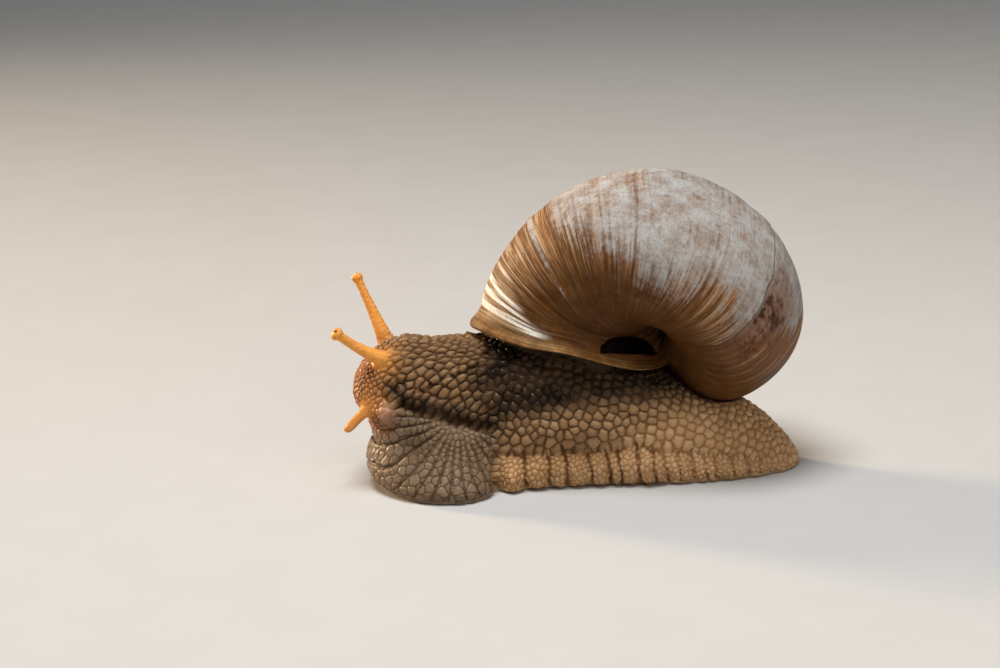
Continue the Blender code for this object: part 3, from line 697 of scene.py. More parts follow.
class Regions:
    """How much each vertex of the skin belongs to each region of the animal, from 0 to 1.

    over_crease and fan_reach are millimetres above the crease and from the fan's centre.
    """

    def __init__(self, points, normals, feeler, collar, shell_near):
        x, _, z = points.T
        ground = groove_height(x)
        behind = smoothstep(-0.9, 0.1, x)
        self.feeler = feeler
        self.collar = collar
        self.under = shell_near
        self.sole = smoothstep(0.45, 0.15, z) * smoothstep(-0.2, -0.7, normals[:, 2])
        self.fringe = smoothstep(0.35, -0.25, z - ground) * behind
        self.over_crease = height_above(CREASE_LINE, x, z + 0.25 * noise(points, 2.2, 83))
        self.fan = smoothstep(0.1, -0.9, self.over_crease) * smoothstep(0.6, -1.4, x)
        self.flank = smoothstep(0.0, 0.5, z - ground) * smoothstep(-1.5, 1.0, x)
        self.columns = bump(z - ground, 1.3, 1.1) * behind * smoothstep(31.0, 25.0, x)
        self.tail = smoothstep(23.0, 29.0, x)
        self.rear = smoothstep(12.0, 20.0, x + 1.6 * (ground + 1.5 - z)) * between(z, 0.1, 0.7, 8.0, 14.0)
        self.neck = smoothstep(3.0, -3.0, x) * (1.0 - self.fan)
        self.face = smoothstep(-12.9, -15.2, x) * smoothstep(6.8, 8.4, z)
        self.side_lobe = near_place(points, SIDE_LOBE, 1.25)
        self.back = smoothstep(0.55, 0.9, normals[:, 2]) * smoothstep(8.0, 12.0, z)
        self.bare = np.maximum.reduce([self.sole, self.collar, self.feeler])
        self.fan_reach = np.hypot(x - FAN_CENTRE[0], FAN_CENTRE[2] - z)

    def lanes(self, points):
        """Place across the rows of tubercles: whole numbers between rows; and how strict the rows are."""
        x, _, z = points.T
        wander = 0.35 * noise(points, 4.0, 85)
        fan = np.arctan2(x - FAN_CENTRE[0], FAN_CENTRE[2] - z) / math.tau * FAN_FURROWS + 0.9 * wander
        neck = (0.6 * x - 0.8 * z) / 0.92 + wander
        upright = (0.97 * x - 0.25 * z) / 1.3 + wander
        slope = (0.54 * x + 0.84 * z) / 1.05 + wander
        lane = np.where(self.tail > 0.5, slope, np.where(self.neck > 0.5, neck, upright))
        lane = np.where(self.fan > 0.5, fan, lane)
        strict = 1.0 - np.maximum.reduce([self.fringe, self.face, self.back, self.sole, self.side_lobe])
        return lane, strict

    def spacing(self):
        """Millimetres from one tubercle to the next."""
        fan = np.clip(0.155 * self.fan_reach, 0.65, 1.3)
        return blended(1.1, (self.neck, 0.95), (self.columns, 1.45), (self.tail, 1.0), (self.fan, fan),
                       (self.face, 0.6), (self.back, 0.85), (self.fringe, 0.6),
                       (np.maximum(self.feeler, self.collar), 0.5), (self.sole, 1.4))

    def stretch(self):
        """Length of a tubercle over its width."""
        return blended(1.05 + 0.45 * self.neck + 0.2 * self.columns, (self.fan, 1.05),
                       (np.maximum(self.face, self.fringe), 1.1))

    def depth(self):
        """Millimetres from a tubercle's top to the furrow beside it."""
        deep = blended(0.29 + 0.05 * self.neck + 0.02 * self.columns - 0.03 * self.tail,
                       (self.fan, 0.075), (self.face, 0.14), (self.fringe, 0.11))
        deep = deep * (1.0 - 0.75 * self.under) * (1.0 - 0.6 * self.side_lobe)
        return deep * (1.0 - np.maximum(self.sole, self.collar)) * (1.0 - 0.85 * self.feeler)


def lie_of_tubercles(points, normals, regions):
    """Direction along which the tubercles are drawn out, in the skin's own plane."""
    fan = points - FAN_CENTRE
    fan[:, 1] = 0.15 * points[:, 1]
    flow = np.array([0.25, 0.0, 0.97])
    for share, direction in ((regions.neck, (0.8, 0.0, 0.6)), (regions.tail, (0.84, 0.0, -0.54)),
                             (regions.fan, unit(fan)), (regions.face, (0.3, 0.0, 0.95)),
                             (regions.back, (1.0, 0.0, 0.0))):
        flow = flow + share[:, None] * (direction - flow)
    return unit(flow - normals * (flow * normals).sum(1, keepdims=True))


def tree_of(points):
    tree = KDTree(len(points))
    for i, place in enumerate(points.tolist()):
        tree.insert(place, i)
    tree.balance()
    return tree


def nearest_seeds(points, seeds, count):
    tree = tree_of(seeds)
    count = min(count, len(seeds))
    found = np.empty((len(points), count), np.int64)
    for i, place in enumerate(points.tolist()):
        found[i] = [near[1] for near in tree.find_n(place, count)]
    return found


def stretched_distance(places, seeds, points, flow, stretch, size):
    """Distance from each place to its seeds, which are numbers of points, in each seed's own measure."""
    apart = places[:, None] - points[seeds]
    along = (apart * flow[seeds]).sum(2)
    square = (apart ** 2).sum(2) + (1.0 / stretch[seeds] ** 2 - 1.0) * along ** 2
    return np.sqrt(np.maximum(square, 0.0)) / size[seeds]


def sow(points, flow, stretch, size, lane, strict, seed):
    """Evenly scattered seeds on the skin, one per tubercle, and in rows where those are strict."""
    random = np.random.default_rng(seed)
    order = random.permutation(len(points))
    order = order[: int(len(order) * SOWN_SHARE)]
    off_row = np.abs(lane - np.floor(lane) - 0.5)[order] * strict[order]
    rank = np.floor(off_row * 8.0) + 0.9 * random.uniform(0.0, 1.0, len(order))
    order = order[np.argsort(rank, kind="stable")]
    places = points[order]
    tree = tree_of(places)
    free = np.ones(len(order), bool)
    taken = []
    for i, place in enumerate(places.tolist()):
        if not free[i]:
            continue
        taken.append(i)
        own = order[i]
        reach = SEED_GAP * size[own] * stretch[own]
        near = np.array([hit[1] for hit in tree.find_range(place, reach)])
        apart = places[near] - places[i]
        along = apart @ flow[own]
        square = (apart ** 2).sum(1) + (1.0 / stretch[own] ** 2 - 1.0) * along ** 2
        free[near[square < (SEED_GAP * size[own]) ** 2]] = False
    chosen = order[np.array(taken)]
    for _ in range(2):      # move each seed to the middle of the skin nearest to it
        index = nearest_seeds(places, points[chosen], 7)
        distance = stretched_distance(places, chosen[index], points, flow, stretch, size)
        owner = index[np.arange(len(places)), distance.argmin(1)]
        count = np.maximum(np.bincount(owner, minlength=len(chosen)), 1)
        middle = np.stack([np.bincount(owner, places[:, i], len(chosen)) / count for i in range(3)], 1)
        chosen = np.unique([order[tree.find(place)[1]] for place in middle.tolist()])
    return chosen


def cad_node_near(name, points, margin):
    """A CAD node's faces as a tree, and which points lie within a margin of its box."""
    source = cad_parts[name].data
    places = (points_of(source) - ORIGIN) / MM
    tree = BVHTree.FromPolygons(places.tolist(), [list(p.vertices) for p in source.polygons])
    close = ((points > places.min(0) - margin) & (points < places.max(0) + margin)).all(1)
    return tree, np.flatnonzero(close)


def near_collar(points):
    """Share of the mantle's collar at each point, by its distance to the CAD node."""
    tree, close = cad_node_near("mantle_collar", points, 0.7)
    distance = np.full(len(points), 9.0)
    for i in close:
        hit = tree.find_nearest(points[i].tolist(), 0.8)
        if hit[0] is not None:
            distance[i] = hit[3]
    return smoothstep(0.55, 0.25, distance)


def distance_to_shell(points, limit=3.0):
    """(distance to the CAD shell, at most the limit and negative inside; direction out of it)."""
    tree, close = cad_node_near("shell", points, limit)
    distance, away = np.full(len(points), limit), np.zeros_like(points)
    for i in close:
        place, normal, _, far = tree.find_nearest(points[i].tolist(), limit)
        if place is not None:
            distance[i] = far if (points[i] - np.array(place)) @ np.array(normal) > 0 else -far
            away[i] = normal
    return distance, away


def build_skin():
    points, quads, edges, lines, feeler, flush = build_skin_base()
    normals = vertex_normals(points, quads)
    collar = smoothed(near_collar(points), edges, 4, 0.5)
    shell_distance, away = distance_to_shell(points)
    regions = Regions(points, normals, feeler, collar, smoothstep(1.4, 0.5, shell_distance))
    x, y, z = points.T

    lane, strict = regions.lanes(points)

    # Broad shapes, as millimetres out of the skin: the fringe's lobes, the groove above it, the fan's
    # furrows, the rows between tubercles, the crease, the neck's folds, the breathing hole, the mouth.
    ground = groove_height(x)
    wander = 0.25 * noise(np.stack([z, x, y], 1), 1.8, 61) + 0.1 * (z - 2.0)
    furrow, swell = lobe_shape(x, y, wander)
    low_part = regions.fringe * (1.0 - regions.sole) * smoothstep(36.5, 31.0, x)
    rising = smoothstep(2.6, 0.0, z - ground) * (1.0 - regions.fringe) * between(x, -0.9, 0.1, 28.0, 33.0)
    even = smoothstep(17.5, 21.0, x)        # towards the tail the lobes join in one narrow ruffle
    move = low_part * (0.46 * swell * (1.0 - 0.6 * even) - (0.5 - 0.2 * even) * furrow - 0.12)
    move -= 0.32 * low_part * furrow * smoothstep(2.0, 0.3, z) * (1.0 - 0.5 * even)
    move += 0.6 * bump(x, BULGING_LOBE[0], 1.5) * bump(z, BULGING_LOBE[1], 1.7) * (y < 0)
    move -= 0.12 * rising * furrow
    move -= 0.34 * bump(z, ground + 0.15, 0.34) * between(x, -1.6, 0.3, 28.0, 35.0)
    move -= 0.55 * bump(x, -0.35, 0.42) * smoothstep(6.2, 3.6, z)
    fan_off = (lane - np.round(lane)) / FAN_FURROWS * math.tau * regions.fan_reach
    fan_line = bump(fan_off, 0.0, 0.17) * (regions.fan > 0.5)
    fan_part = regions.fan * (1.0 - regions.sole) * smoothstep(2.0, 4.2, regions.fan_reach)
    move -= 0.24 * fan_line * fan_part
    row_line = bump(lane, np.round(lane), 0.1) * strict * (1.0 - regions.fan)
    move -= 0.05 * row_line * regions.flank
    move += 0.1 * fan_part * layered(points, 3.5, 65, 2)
    sideways = smoothstep(2.0, 4.0, np.abs(y))
    crease = bump(regions.over_crease + 0.3 * noise(points, 1.3, 87), 0.0, 0.62)
    crease *= between(x, -13.6, -11.8, -3.0, 0.8) * sideways * (1.0 - regions.side_lobe)
    overhang = bump(regions.over_crease, 1.25, 0.85) * between(x, -14.0, -11.5, -3.5, 0.0)
    move += 0.36 * overhang * sideways - 0.52 * crease
    fold_wave = noise(points, 2.4, 67)
    neck_fold = bump(height_above(NECK_FOLD, x, z) + 0.25 * fold_wave, 0.0, 0.24)
    neck_fold *= between(x, -10.8, -9.0, -2.2, -0.8) * sideways
    move -= 0.34 * neck_fold
    for fold_x, fold_z, slope, length, depth in SHORT_FOLDS:
        along = (x - fold_x) * math.cos(slope) + (z - fold_z) * math.sin(slope)
        off = -(x - fold_x) * math.sin(slope) + (z - fold_z) * math.cos(slope)
        move -= depth * bump(off + 0.35 * fold_wave, 0.0, 0.3) * bump(along, 0.0, length) * sideways
    move += 1.05 * regions.side_lobe
    breathing = near_place(points, BREATHING_HOLE, 0.62) * (y < 0)
    move -= 0.9 * breathing
    mouth = bump(y, 0.0, 1.5) * bump(z, MOUTH_HEIGHT - 0.12 * y ** 2, 0.42) * smoothstep(-13.5, -15.0, x)
    move -= 0.75 * mouth
    move += 0.1 * layered(points, 4.5, 69, 2) * (1.0 - regions.bare)
    shaped = points + normals * move[:, None]

    # Tubercles: one per seed, divided by furrows where two seeds are equally near.
    size, stretch = regions.spacing(), regions.stretch()
    flow = lie_of_tubercles(points, normals, regions)
    chosen = sow(points, flow, stretch, size, lane, strict, 71)
    index = nearest_seeds(points, points[chosen], 8)
    distance = stretched_distance(points, chosen[index], points, flow, stretch, size)
    ranks = np.argsort(distance, axis=1)[:, :2]
    rows = np.arange(len(points))
    first, second = distance[rows, ranks[:, 0]], distance[rows, ranks[:, 1]]
    owner = index[rows, ranks[:, 0]]
    border = (second - first) * size * 0.5
    border = border + 0.03 * noise(points, 0.5, 73)
    narrow = 0.1 - 0.015 * np.maximum(regions.fringe, regions.fan)
    furrowed = bump(np.maximum(border, 0.0), 0.0, narrow)
    round_off = size * (0.46 - 0.2 * regions.fan)
    dome = 0.72 * (1.0 - (1.0 - np.clip(border / round_off, 0.0, 1.0)) ** 2)
    dome += 0.28 * (1.0 - np.minimum(first / 0.75, 1.0) ** 2)
    random = np.random.default_rng(75).uniform(-1.0, 1.0, len(chosen))[owner]
    depth = regions.depth()
    relief = depth * (1.25 * dome - 0.75 - 0.35 * furrowed + 0.2 * random)
    relief += 0.02 * layered(points, 0.6, 77, 2) * (1.0 - regions.bare)
    relief += 0.012 * regions.feeler * layered(points, 0.45, 79, 2)
    relief = smoothed(relief, edges, 1, 0.45)
    base_normals, normals = normals, vertex_normals(shaped, quads)
    shaped = shaped + normals * relief[:, None]

    # The sole is flat on the floor, nothing reaches below it, and nothing reaches into the shell.
    flat = smoothstep(0.3, 0.12, z) * smoothstep(-0.3, -0.8, base_normals[:, 2])
    shaped[:, 2] = np.maximum(shaped[:, 2] * (1.0 - flat), 0.0)
    push = np.clip(SHELL_GAP - shell_distance, 0.0, 0.7)[:, None] * away
    shaped += smoothed(push, edges, 3, 0.5)
    # Nothing soft shows inside the navel.
    apart = points - NAVEL
    level = apart @ NAVEL_UP
    share = (smoothstep(5.6, 4.2, np.abs(apart[:, 0] - 0.6)) * between(level, -2.0, -1.3, 3.0, 4.5)
             * smoothstep(7.0, 5.5, np.abs(apart[:, 1])))
    shaped += NAVEL_IN * (6.5 * share)[:, None]

    skin = mesh_object("snail_skin", shaped, quads)
    # Tubercle colour: the gap colour in their furrows, and darker from each dome's top to its edge, partly
    # the skin's pattern and partly painted shading of the relief.
    share = 0.42 - 0.24 * regions.fan
    pebble = 1.0 - ((1.0 - share) * furrowed + share * (1.0 - dome)) * (1.0 - 0.8 * regions.bare)
    # Painted shade in the fringe's and the fan's furrows, in the crease and in the neck's folds.
    painted_furrow_shade = np.maximum.reduce([0.6 * low_part * furrow, 0.95 * fan_line * fan_part, rising * furrow * 0.4,
                              0.4 * crease, 0.5 * neck_fold])
    pebble = pebble * (1.0 - 0.85 * painted_furrow_shade)
    shade = pigment_and_painted_shade(points, regions, shell_distance)
    # Painted shade inside the breathing hole and along the crease.
    shade = np.maximum(shade, np.maximum(1.1 * breathing, 0.7 * crease))
    add_numbers(skin.data, pebble=pebble, tone=0.5 + 0.5 * random, dark=shade, flush=flush,
                face=smoothstep(-11.6, -16.4, x) * smoothstep(5.8, 9.0, z),
                collar=collar * (1.0 - smoothstep(17.0, 18.5, z) * smoothstep(1.0, -1.0, x)),
                **{name: getattr(regions, name)
                   for name in ("fan", "fringe", "tail", "sole", "side_lobe", "flank", "rear")})
    add_uv(skin.data, skin_map(points, normals, regions, lines))
    balls = {side: find_ball(shaped, *lines["tentacle_upper_" + side], side) for side in ("left", "right")}
    return skin, balls


def find_ball(skin_points, line, size, side):
    """(place on the skin, direction out of it) where the eye sits on the ball of an upper feeler."""
    middle = line[int(0.8 * len(line)) + size[int(0.8 * len(line)):].argmax()]
    ahead = unit(line[-12] - line[-24])
    outward = np.array([0.0, -1.0 if side == "left" else 1.0, 0.0])
    towards = unit(0.15 * ahead + 0.7 * outward + np.array([0.0, 0.0, 0.7]))
    apart = skin_points - middle
    far = np.linalg.norm(apart, axis=1)
    facing = (far < 1.6) & (apart @ towards > 0.95 * far)       # the ball's own skin on that side
    return middle + towards * far[facing].mean(), towards


def pigment_and_painted_shade(points, regions, shell_distance):
    """How dark the skin is, partly its own pigment and partly painted shade: darkest on the flank under
    the shell's lip and above the crease.
    """
    x, _, z = points.T
    lower = z + 1.7 * smoothstep(12.0, -1.0, x)
    # The flank below the shell's lip: the skin's own dark pigment together with painted shade of the
    # shell.
    flank = between(x, -8.0, 1.5, 24.0, 36.0) * smoothstep(8.8, 13.2, lower)
    flank *= 1.0 - 0.55 * smoothstep(14.5, 17.0, z) * smoothstep(1.0, -4.0, x)
    # Painted shade of the neck's overhang, in a band above the crease.
    painted_overhang_shade = 0.86 * between(regions.over_crease, -1.1, 0.3, 0.9, 3.4) * between(x, -14.5, -11.5, -2.0, 4.0)
    # Painted shade in the recess by the upper feelers' roots, on each side.
    painted_temple_shade = 0.75 * near_place(points, (-12.4, 5.4, 13.6), 1.9)
    back = 0.28 * smoothstep(10.0, 15.0, z)
    # Painted shade where the skin lies close under the shell, less at the top of the neck.
    under = 0.85 * smoothstep(2.4, 0.3, shell_distance) * smoothstep(34.0, 24.0, x)
    under *= 1.0 - 0.85 * smoothstep(16.0, 17.5, z) * smoothstep(1.0, -1.5, x)
    # Painted shade of a fold in the front foot, on each side.
    painted_foot_fold_shade = 0.55 * near_place(points, (-9.8, 7.5, 6.6), 2.4)
    shade = np.maximum.reduce([flank, painted_overhang_shade, painted_temple_shade, back, under, painted_foot_fold_shade])
    shade = shade + 0.2 * layered(points, 2.6, 81, 3)
    return np.clip(shade * (1.0 - regions.feeler) * (1.0 - 0.8 * regions.side_lobe), 0.0, 1.0)


def skin_map(points, normals, regions, lines):
    """Places on the bake's map: the body unrolled round its length, its face, and each feeler."""
    x, y, z = points.T
    turn = np.arctan2(z - 5.0, y)                       # seen from the tail, from the right flank
    turn = (turn + math.pi * 1.5) % math.tau - math.pi  # the cut runs along the middle of the sole
    places = np.stack([0.02 + (x + 20.0) / 60.0 * 0.96, 0.33 + (turn / math.tau + 0.5) * 0.65], 1)
    face = (normals[:, 0] < -0.75) & (x < -8.0)
    places[face] = np.stack([0.02 + (y[face] + 12.5) / 25.0 * 0.3, 0.01 + z[face] / 20.0 * 0.29], 1)
    for row, (line, size) in enumerate(lines.values()):
        ratio, share = nearest_on_line(points, line, size)
        own = (regions.feeler > 0.5) & (ratio < 2.0)
        spot = line[np.clip((share[own] * (len(line) - 1)).astype(int), 0, len(line) - 1)]
        apart = points[own] - spot
        angle = np.arctan2(apart[:, 2], apart[:, 1])
        left = 0.36 + 0.16 * row
        places[own] = np.stack([left + (angle / math.tau + 0.5) * 0.14, 0.01 + share[own] * 0.3], 1)
    return places


# ---------------------------------------------------------------- materials

class Nodes:
    """Short ways to add nodes to a new material with one Principled shader."""

    def __init__(self, name):
        self.material = bpy.data.materials.new(name)
        self.material.use_nodes = True
        self.tree = self.material.node_tree
        self.shader = self.tree.nodes["Principled BSDF"]

    def set(self, **values):
        """Values on the shader's own sockets, with _ for a space."""
        for name, value in values.items():
            self.shader.inputs[name.replace("_", " ")].default_value = value

    def put(self, socket, value):
        if isinstance(value, bpy.types.NodeSocket):
            self.tree.links.new(value, socket)
        elif isinstance(value, tuple) and socket.type == "RGBA":
            socket.default_value = (*value, 1.0)
        elif value is not None:
            socket.default_value = value

    def add(self, kind, output, inputs, **settings):
        """One output of a new node, from values for its inputs and its own settings."""
        node = self.tree.nodes.new("ShaderNode" + kind)
        for name, value in settings.items():
            setattr(node, name, value)
        for name, value in inputs.items():
            self.put(node.inputs[name], value)
        return node.outputs[output]

    def number(self, name, output="Fac"):
        return self.add("Attribute", output, {}, attribute_name=name)

    def places(self, scale=(1.0, 1.0, 1.0), source=None):
        """Object coordinates, or another vector, scaled."""
        source = source or self.add("TexCoord", "Object", {})
        return self.add("Mapping", "Vector", {"Vector": source, "Scale": scale})

    def noise(self, vector, scale, detail=4.0, roughness=0.55, distortion=0.0):
        return self.add("TexNoise", "Fac", {"Vector": vector, "Scale": scale, "Detail": detail,
                                            "Roughness": roughness, "Distortion": distortion})

    def ramp(self, value, low, high, out_low=0.0, out_high=1.0):
        """value from low..high to out_low..out_high, smoothly and clamped."""
        inputs = {"Value": value, "From Min": low, "From Max": high, "To Min": out_low, "To Max": out_high}
        return self.add("MapRange", "Result", inputs, interpolation_type="SMOOTHSTEP")

    def plus(self, a, b):
        return self.add("Math", "Value", {0: a, 1: b}, operation="ADD")

    def times(self, a, b):
        return self.add("Math", "Value", {0: a, 1: b}, operation="MULTIPLY")

    def minus(self, a, b):
        return self.add("Math", "Value", {0: a, 1: b}, operation="SUBTRACT")

    def swung(self, value, *swings):
        """value plus each (noise less its middle) times its size."""
        for source, size in swings:
            value = self.plus(value, self.times(self.minus(source, 0.5), size))
        return value

    def mix(self, share, a, b):
        colour_a, colour_b, colour_out = 6, 7, 2
        return self.add("Mix", colour_out, {"Factor": share, colour_a: a, colour_b: b},
                        data_type="RGBA", clamp_factor=True)

    def over(self, colour, *layers):
        """colour with each layer's (share, colour) mixed over it in turn."""
        for share, layer in layers:
            colour = self.mix(share, colour, layer)
        return colour

    def bump(self, height, distance, strength, below=None):
        return self.add("Bump", "Normal", {"Strength": strength, "Distance": distance, "Height": height,
                                           "Normal": below})

    def finish(self, colour, roughness, normal=None):
        for name, value in (("Base Color", colour), ("Roughness", roughness), ("Normal", normal)):
            self.put(self.shader.inputs[name], value)
        return self.material


def shell_material():
    n = Nodes("weathered_shell")
    strip = n.number("strip", "Vector")     # millimetres along the tube and round it
    # Each drawn out along the growth lines or along the spiral, by less than 1 in that direction.
    lines, fine_lines, streaks, ridges, fibre, weave, spiral = (
        n.noise(n.places((along, girth, 1.0), strip), scale, detail, roughness)
        for along, girth, scale, detail, roughness in (
            (1.0, 0.07, 0.9, 5.0, 0.62), (1.0, 0.05, 3.6, 3.0, 0.6), (1.0, 0.05, 0.55, 3.0, 0.55),
            (1.0, 0.05, 1.8, 2.0, 0.5), (1.0, 0.12, 6.5, 4.0, 0.72), (0.3, 1.0, 5.0, 3.0, 0.65),
            (0.12, 1.0, 2.6, 4.0, 0.65)))
    broad = n.noise(n.places(), 130.0, 4.0, 0.6, 0.3)
    mottle = n.noise(n.places(), 420.0, 6.0, 0.62, 0.4)
    speckle = n.noise(n.places((1.0, 1.0, 0.7)), 1300.0, 6.0, 0.72)
    grain = n.noise(n.places(), 2600.0, 4.0, 0.6)
    rough = n.plus(n.times(fibre, 0.6), n.times(weave, 0.4))
    white, gold, stain = n.number("white"), n.number("gold"), n.number("stain")

    # The golden belt by the navel, in colours darkened partly as painted shade of the shell's underside.
    golden = n.over(
        n.mix(n.ramp(mottle, 0.3, 0.7), (0.064, 0.02, 0.0015), (0.14, 0.05, 0.005)),
        (n.ramp(lines, 0.3, 0.7, 0.0, 0.4), (0.08, 0.03, 0.008)))
    cream = n.over(
        n.mix(n.ramp(fine_lines, 0.36, 0.58), (0.15, 0.066, 0.02), (0.4, 0.26, 0.14)),
        (n.ramp(streaks, 0.46, 0.53), (0.95, 0.89, 0.78)),
        (n.ramp(streaks, 0.42, 0.34), (0.075, 0.028, 0.007)))
    brown = n.times(n.number("brown"), n.ramp(fine_lines, 0.35, 0.65, 0.2, 0.8))
    pale_lines = n.times(n.ramp(fine_lines, 0.48, 0.4), n.ramp(lines, 0.45, 0.6))
    ground = n.over(
        n.mix(n.ramp(lines, 0.41, 0.59), (0.14, 0.045, 0.007), (0.4, 0.172, 0.046)),
        (n.ramp(broad, 0.3, 0.7, 0.0, 0.5), (0.245, 0.1, 0.025)),
        (n.ramp(fine_lines, 0.52, 0.62, 0.0, 0.55), (0.075, 0.025, 0.006)),
        (brown, (0.125, 0.048, 0.014)),
        (n.ramp(fibre, 0.5, 0.62, 0.0, 0.4), (0.075, 0.024, 0.005)),
        (n.ramp(fibre, 0.49, 0.38, 0.0, 0.25), (0.62, 0.41, 0.22)),
        (n.ramp(ridges, 0.54, 0.6, 0.0, 0.5), (0.06, 0.02, 0.005)),
        (n.ramp(ridges, 0.45, 0.39, 0.0, 0.5), (0.6, 0.43, 0.27)),
        (n.times(pale_lines, 0.4), (0.56, 0.41, 0.26)),
        (n.times(gold, 0.93), golden),
        (n.times(n.number("cream"), 0.95), cream))
    chalk = n.over(
        n.mix(n.ramp(mottle, 0.34, 0.66), (0.34, 0.285, 0.245), (0.475, 0.462, 0.445)),
        (n.ramp(spiral, 0.5, 0.72, 0.0, 0.45), (0.6, 0.6, 0.6)),
        (n.ramp(rough, 0.5, 0.6, 0.0, 0.35), (0.27, 0.19, 0.13)))
    lip = n.over(
        n.mix(n.ramp(mottle, 0.3, 0.7), (0.14, 0.058, 0.012), (0.37, 0.2, 0.066)),
        (n.ramp(fine_lines, 0.5, 0.62, 0.0, 0.55), (0.09, 0.036, 0.009)),
        (n.ramp(ridges, 0.52, 0.58, 0.0, 0.55), (0.08, 0.032, 0.008)))
    edge = n.swung(white, (mottle, 1.3), (broad, 0.9), (speckle, 2.8), (rough, 2.0), (ridges, -2.4),
                   (lines, 1.2))
    chalky = n.times(n.ramp(edge, 0.1, 1.00, 0.0, 0.6), n.ramp(white, 0.0, 0.16, 0.15, 1.0))
    patch = n.plus(n.times(mottle, 0.5), n.times(speckle, 0.5))
    colour = n.over(
        ground,
        (n.plus(chalky, n.ramp(white, 0.25, 0.95, 0.0, 0.34)), chalk),
        (n.times(stain, 0.45), (0.33, 0.16, 0.085)),
        (n.times(n.times(stain, n.ramp(patch, 0.38, 0.54)), 0.85), (0.175, 0.048, 0.012)),
        (n.times(n.times(stain, n.ramp(patch, 0.51, 0.56)), 0.85), (0.03, 0.008, 0.002)),
        (n.number("lip"), lip),
        (n.times(n.number("navel_brown_and_shade"), 0.85), (0.045, 0.014, 0.002)),
        (n.number("crack"), (0.04, 0.016, 0.008)),
        # Near black inside the navel: dirt together with painted shade in the hole.
        (n.number("navel"), (0.006, 0.003, 0.002)),
        (n.ramp(grain, 0.4, 0.75, 0.0, 0.25), (0.07, 0.042, 0.025)),
        (n.ramp(speckle, 0.55, 0.68, 0.0, 0.4), (0.14, 0.054, 0.016)))

    roughness = n.ramp(n.plus(white, n.times(grain, 0.3)), 0.0, 1.2, 0.52, 0.72)
    height = n.plus(n.times(fine_lines, 0.6), n.times(lines, 0.5))
    height = n.plus(n.plus(height, n.times(rough, 0.8)), n.times(ridges, -0.9))
    height = n.times(height, n.ramp(gold, 0.0, 1.0, 1.0, 0.35))
    normal = n.bump(n.plus(mottle, n.times(grain, 0.4)), 0.00008, 0.6, n.bump(height, 0.00018, 0.85))
    n.set(Subsurface_Weight=0.06, Subsurface_Scale=0.0008, Subsurface_Radius=(1.0, 0.5, 0.25),
          Specular_IOR_Level=0.09, Coat_Weight=0.03, Coat_Roughness=0.3)
    return n.finish(colour, roughness, normal)


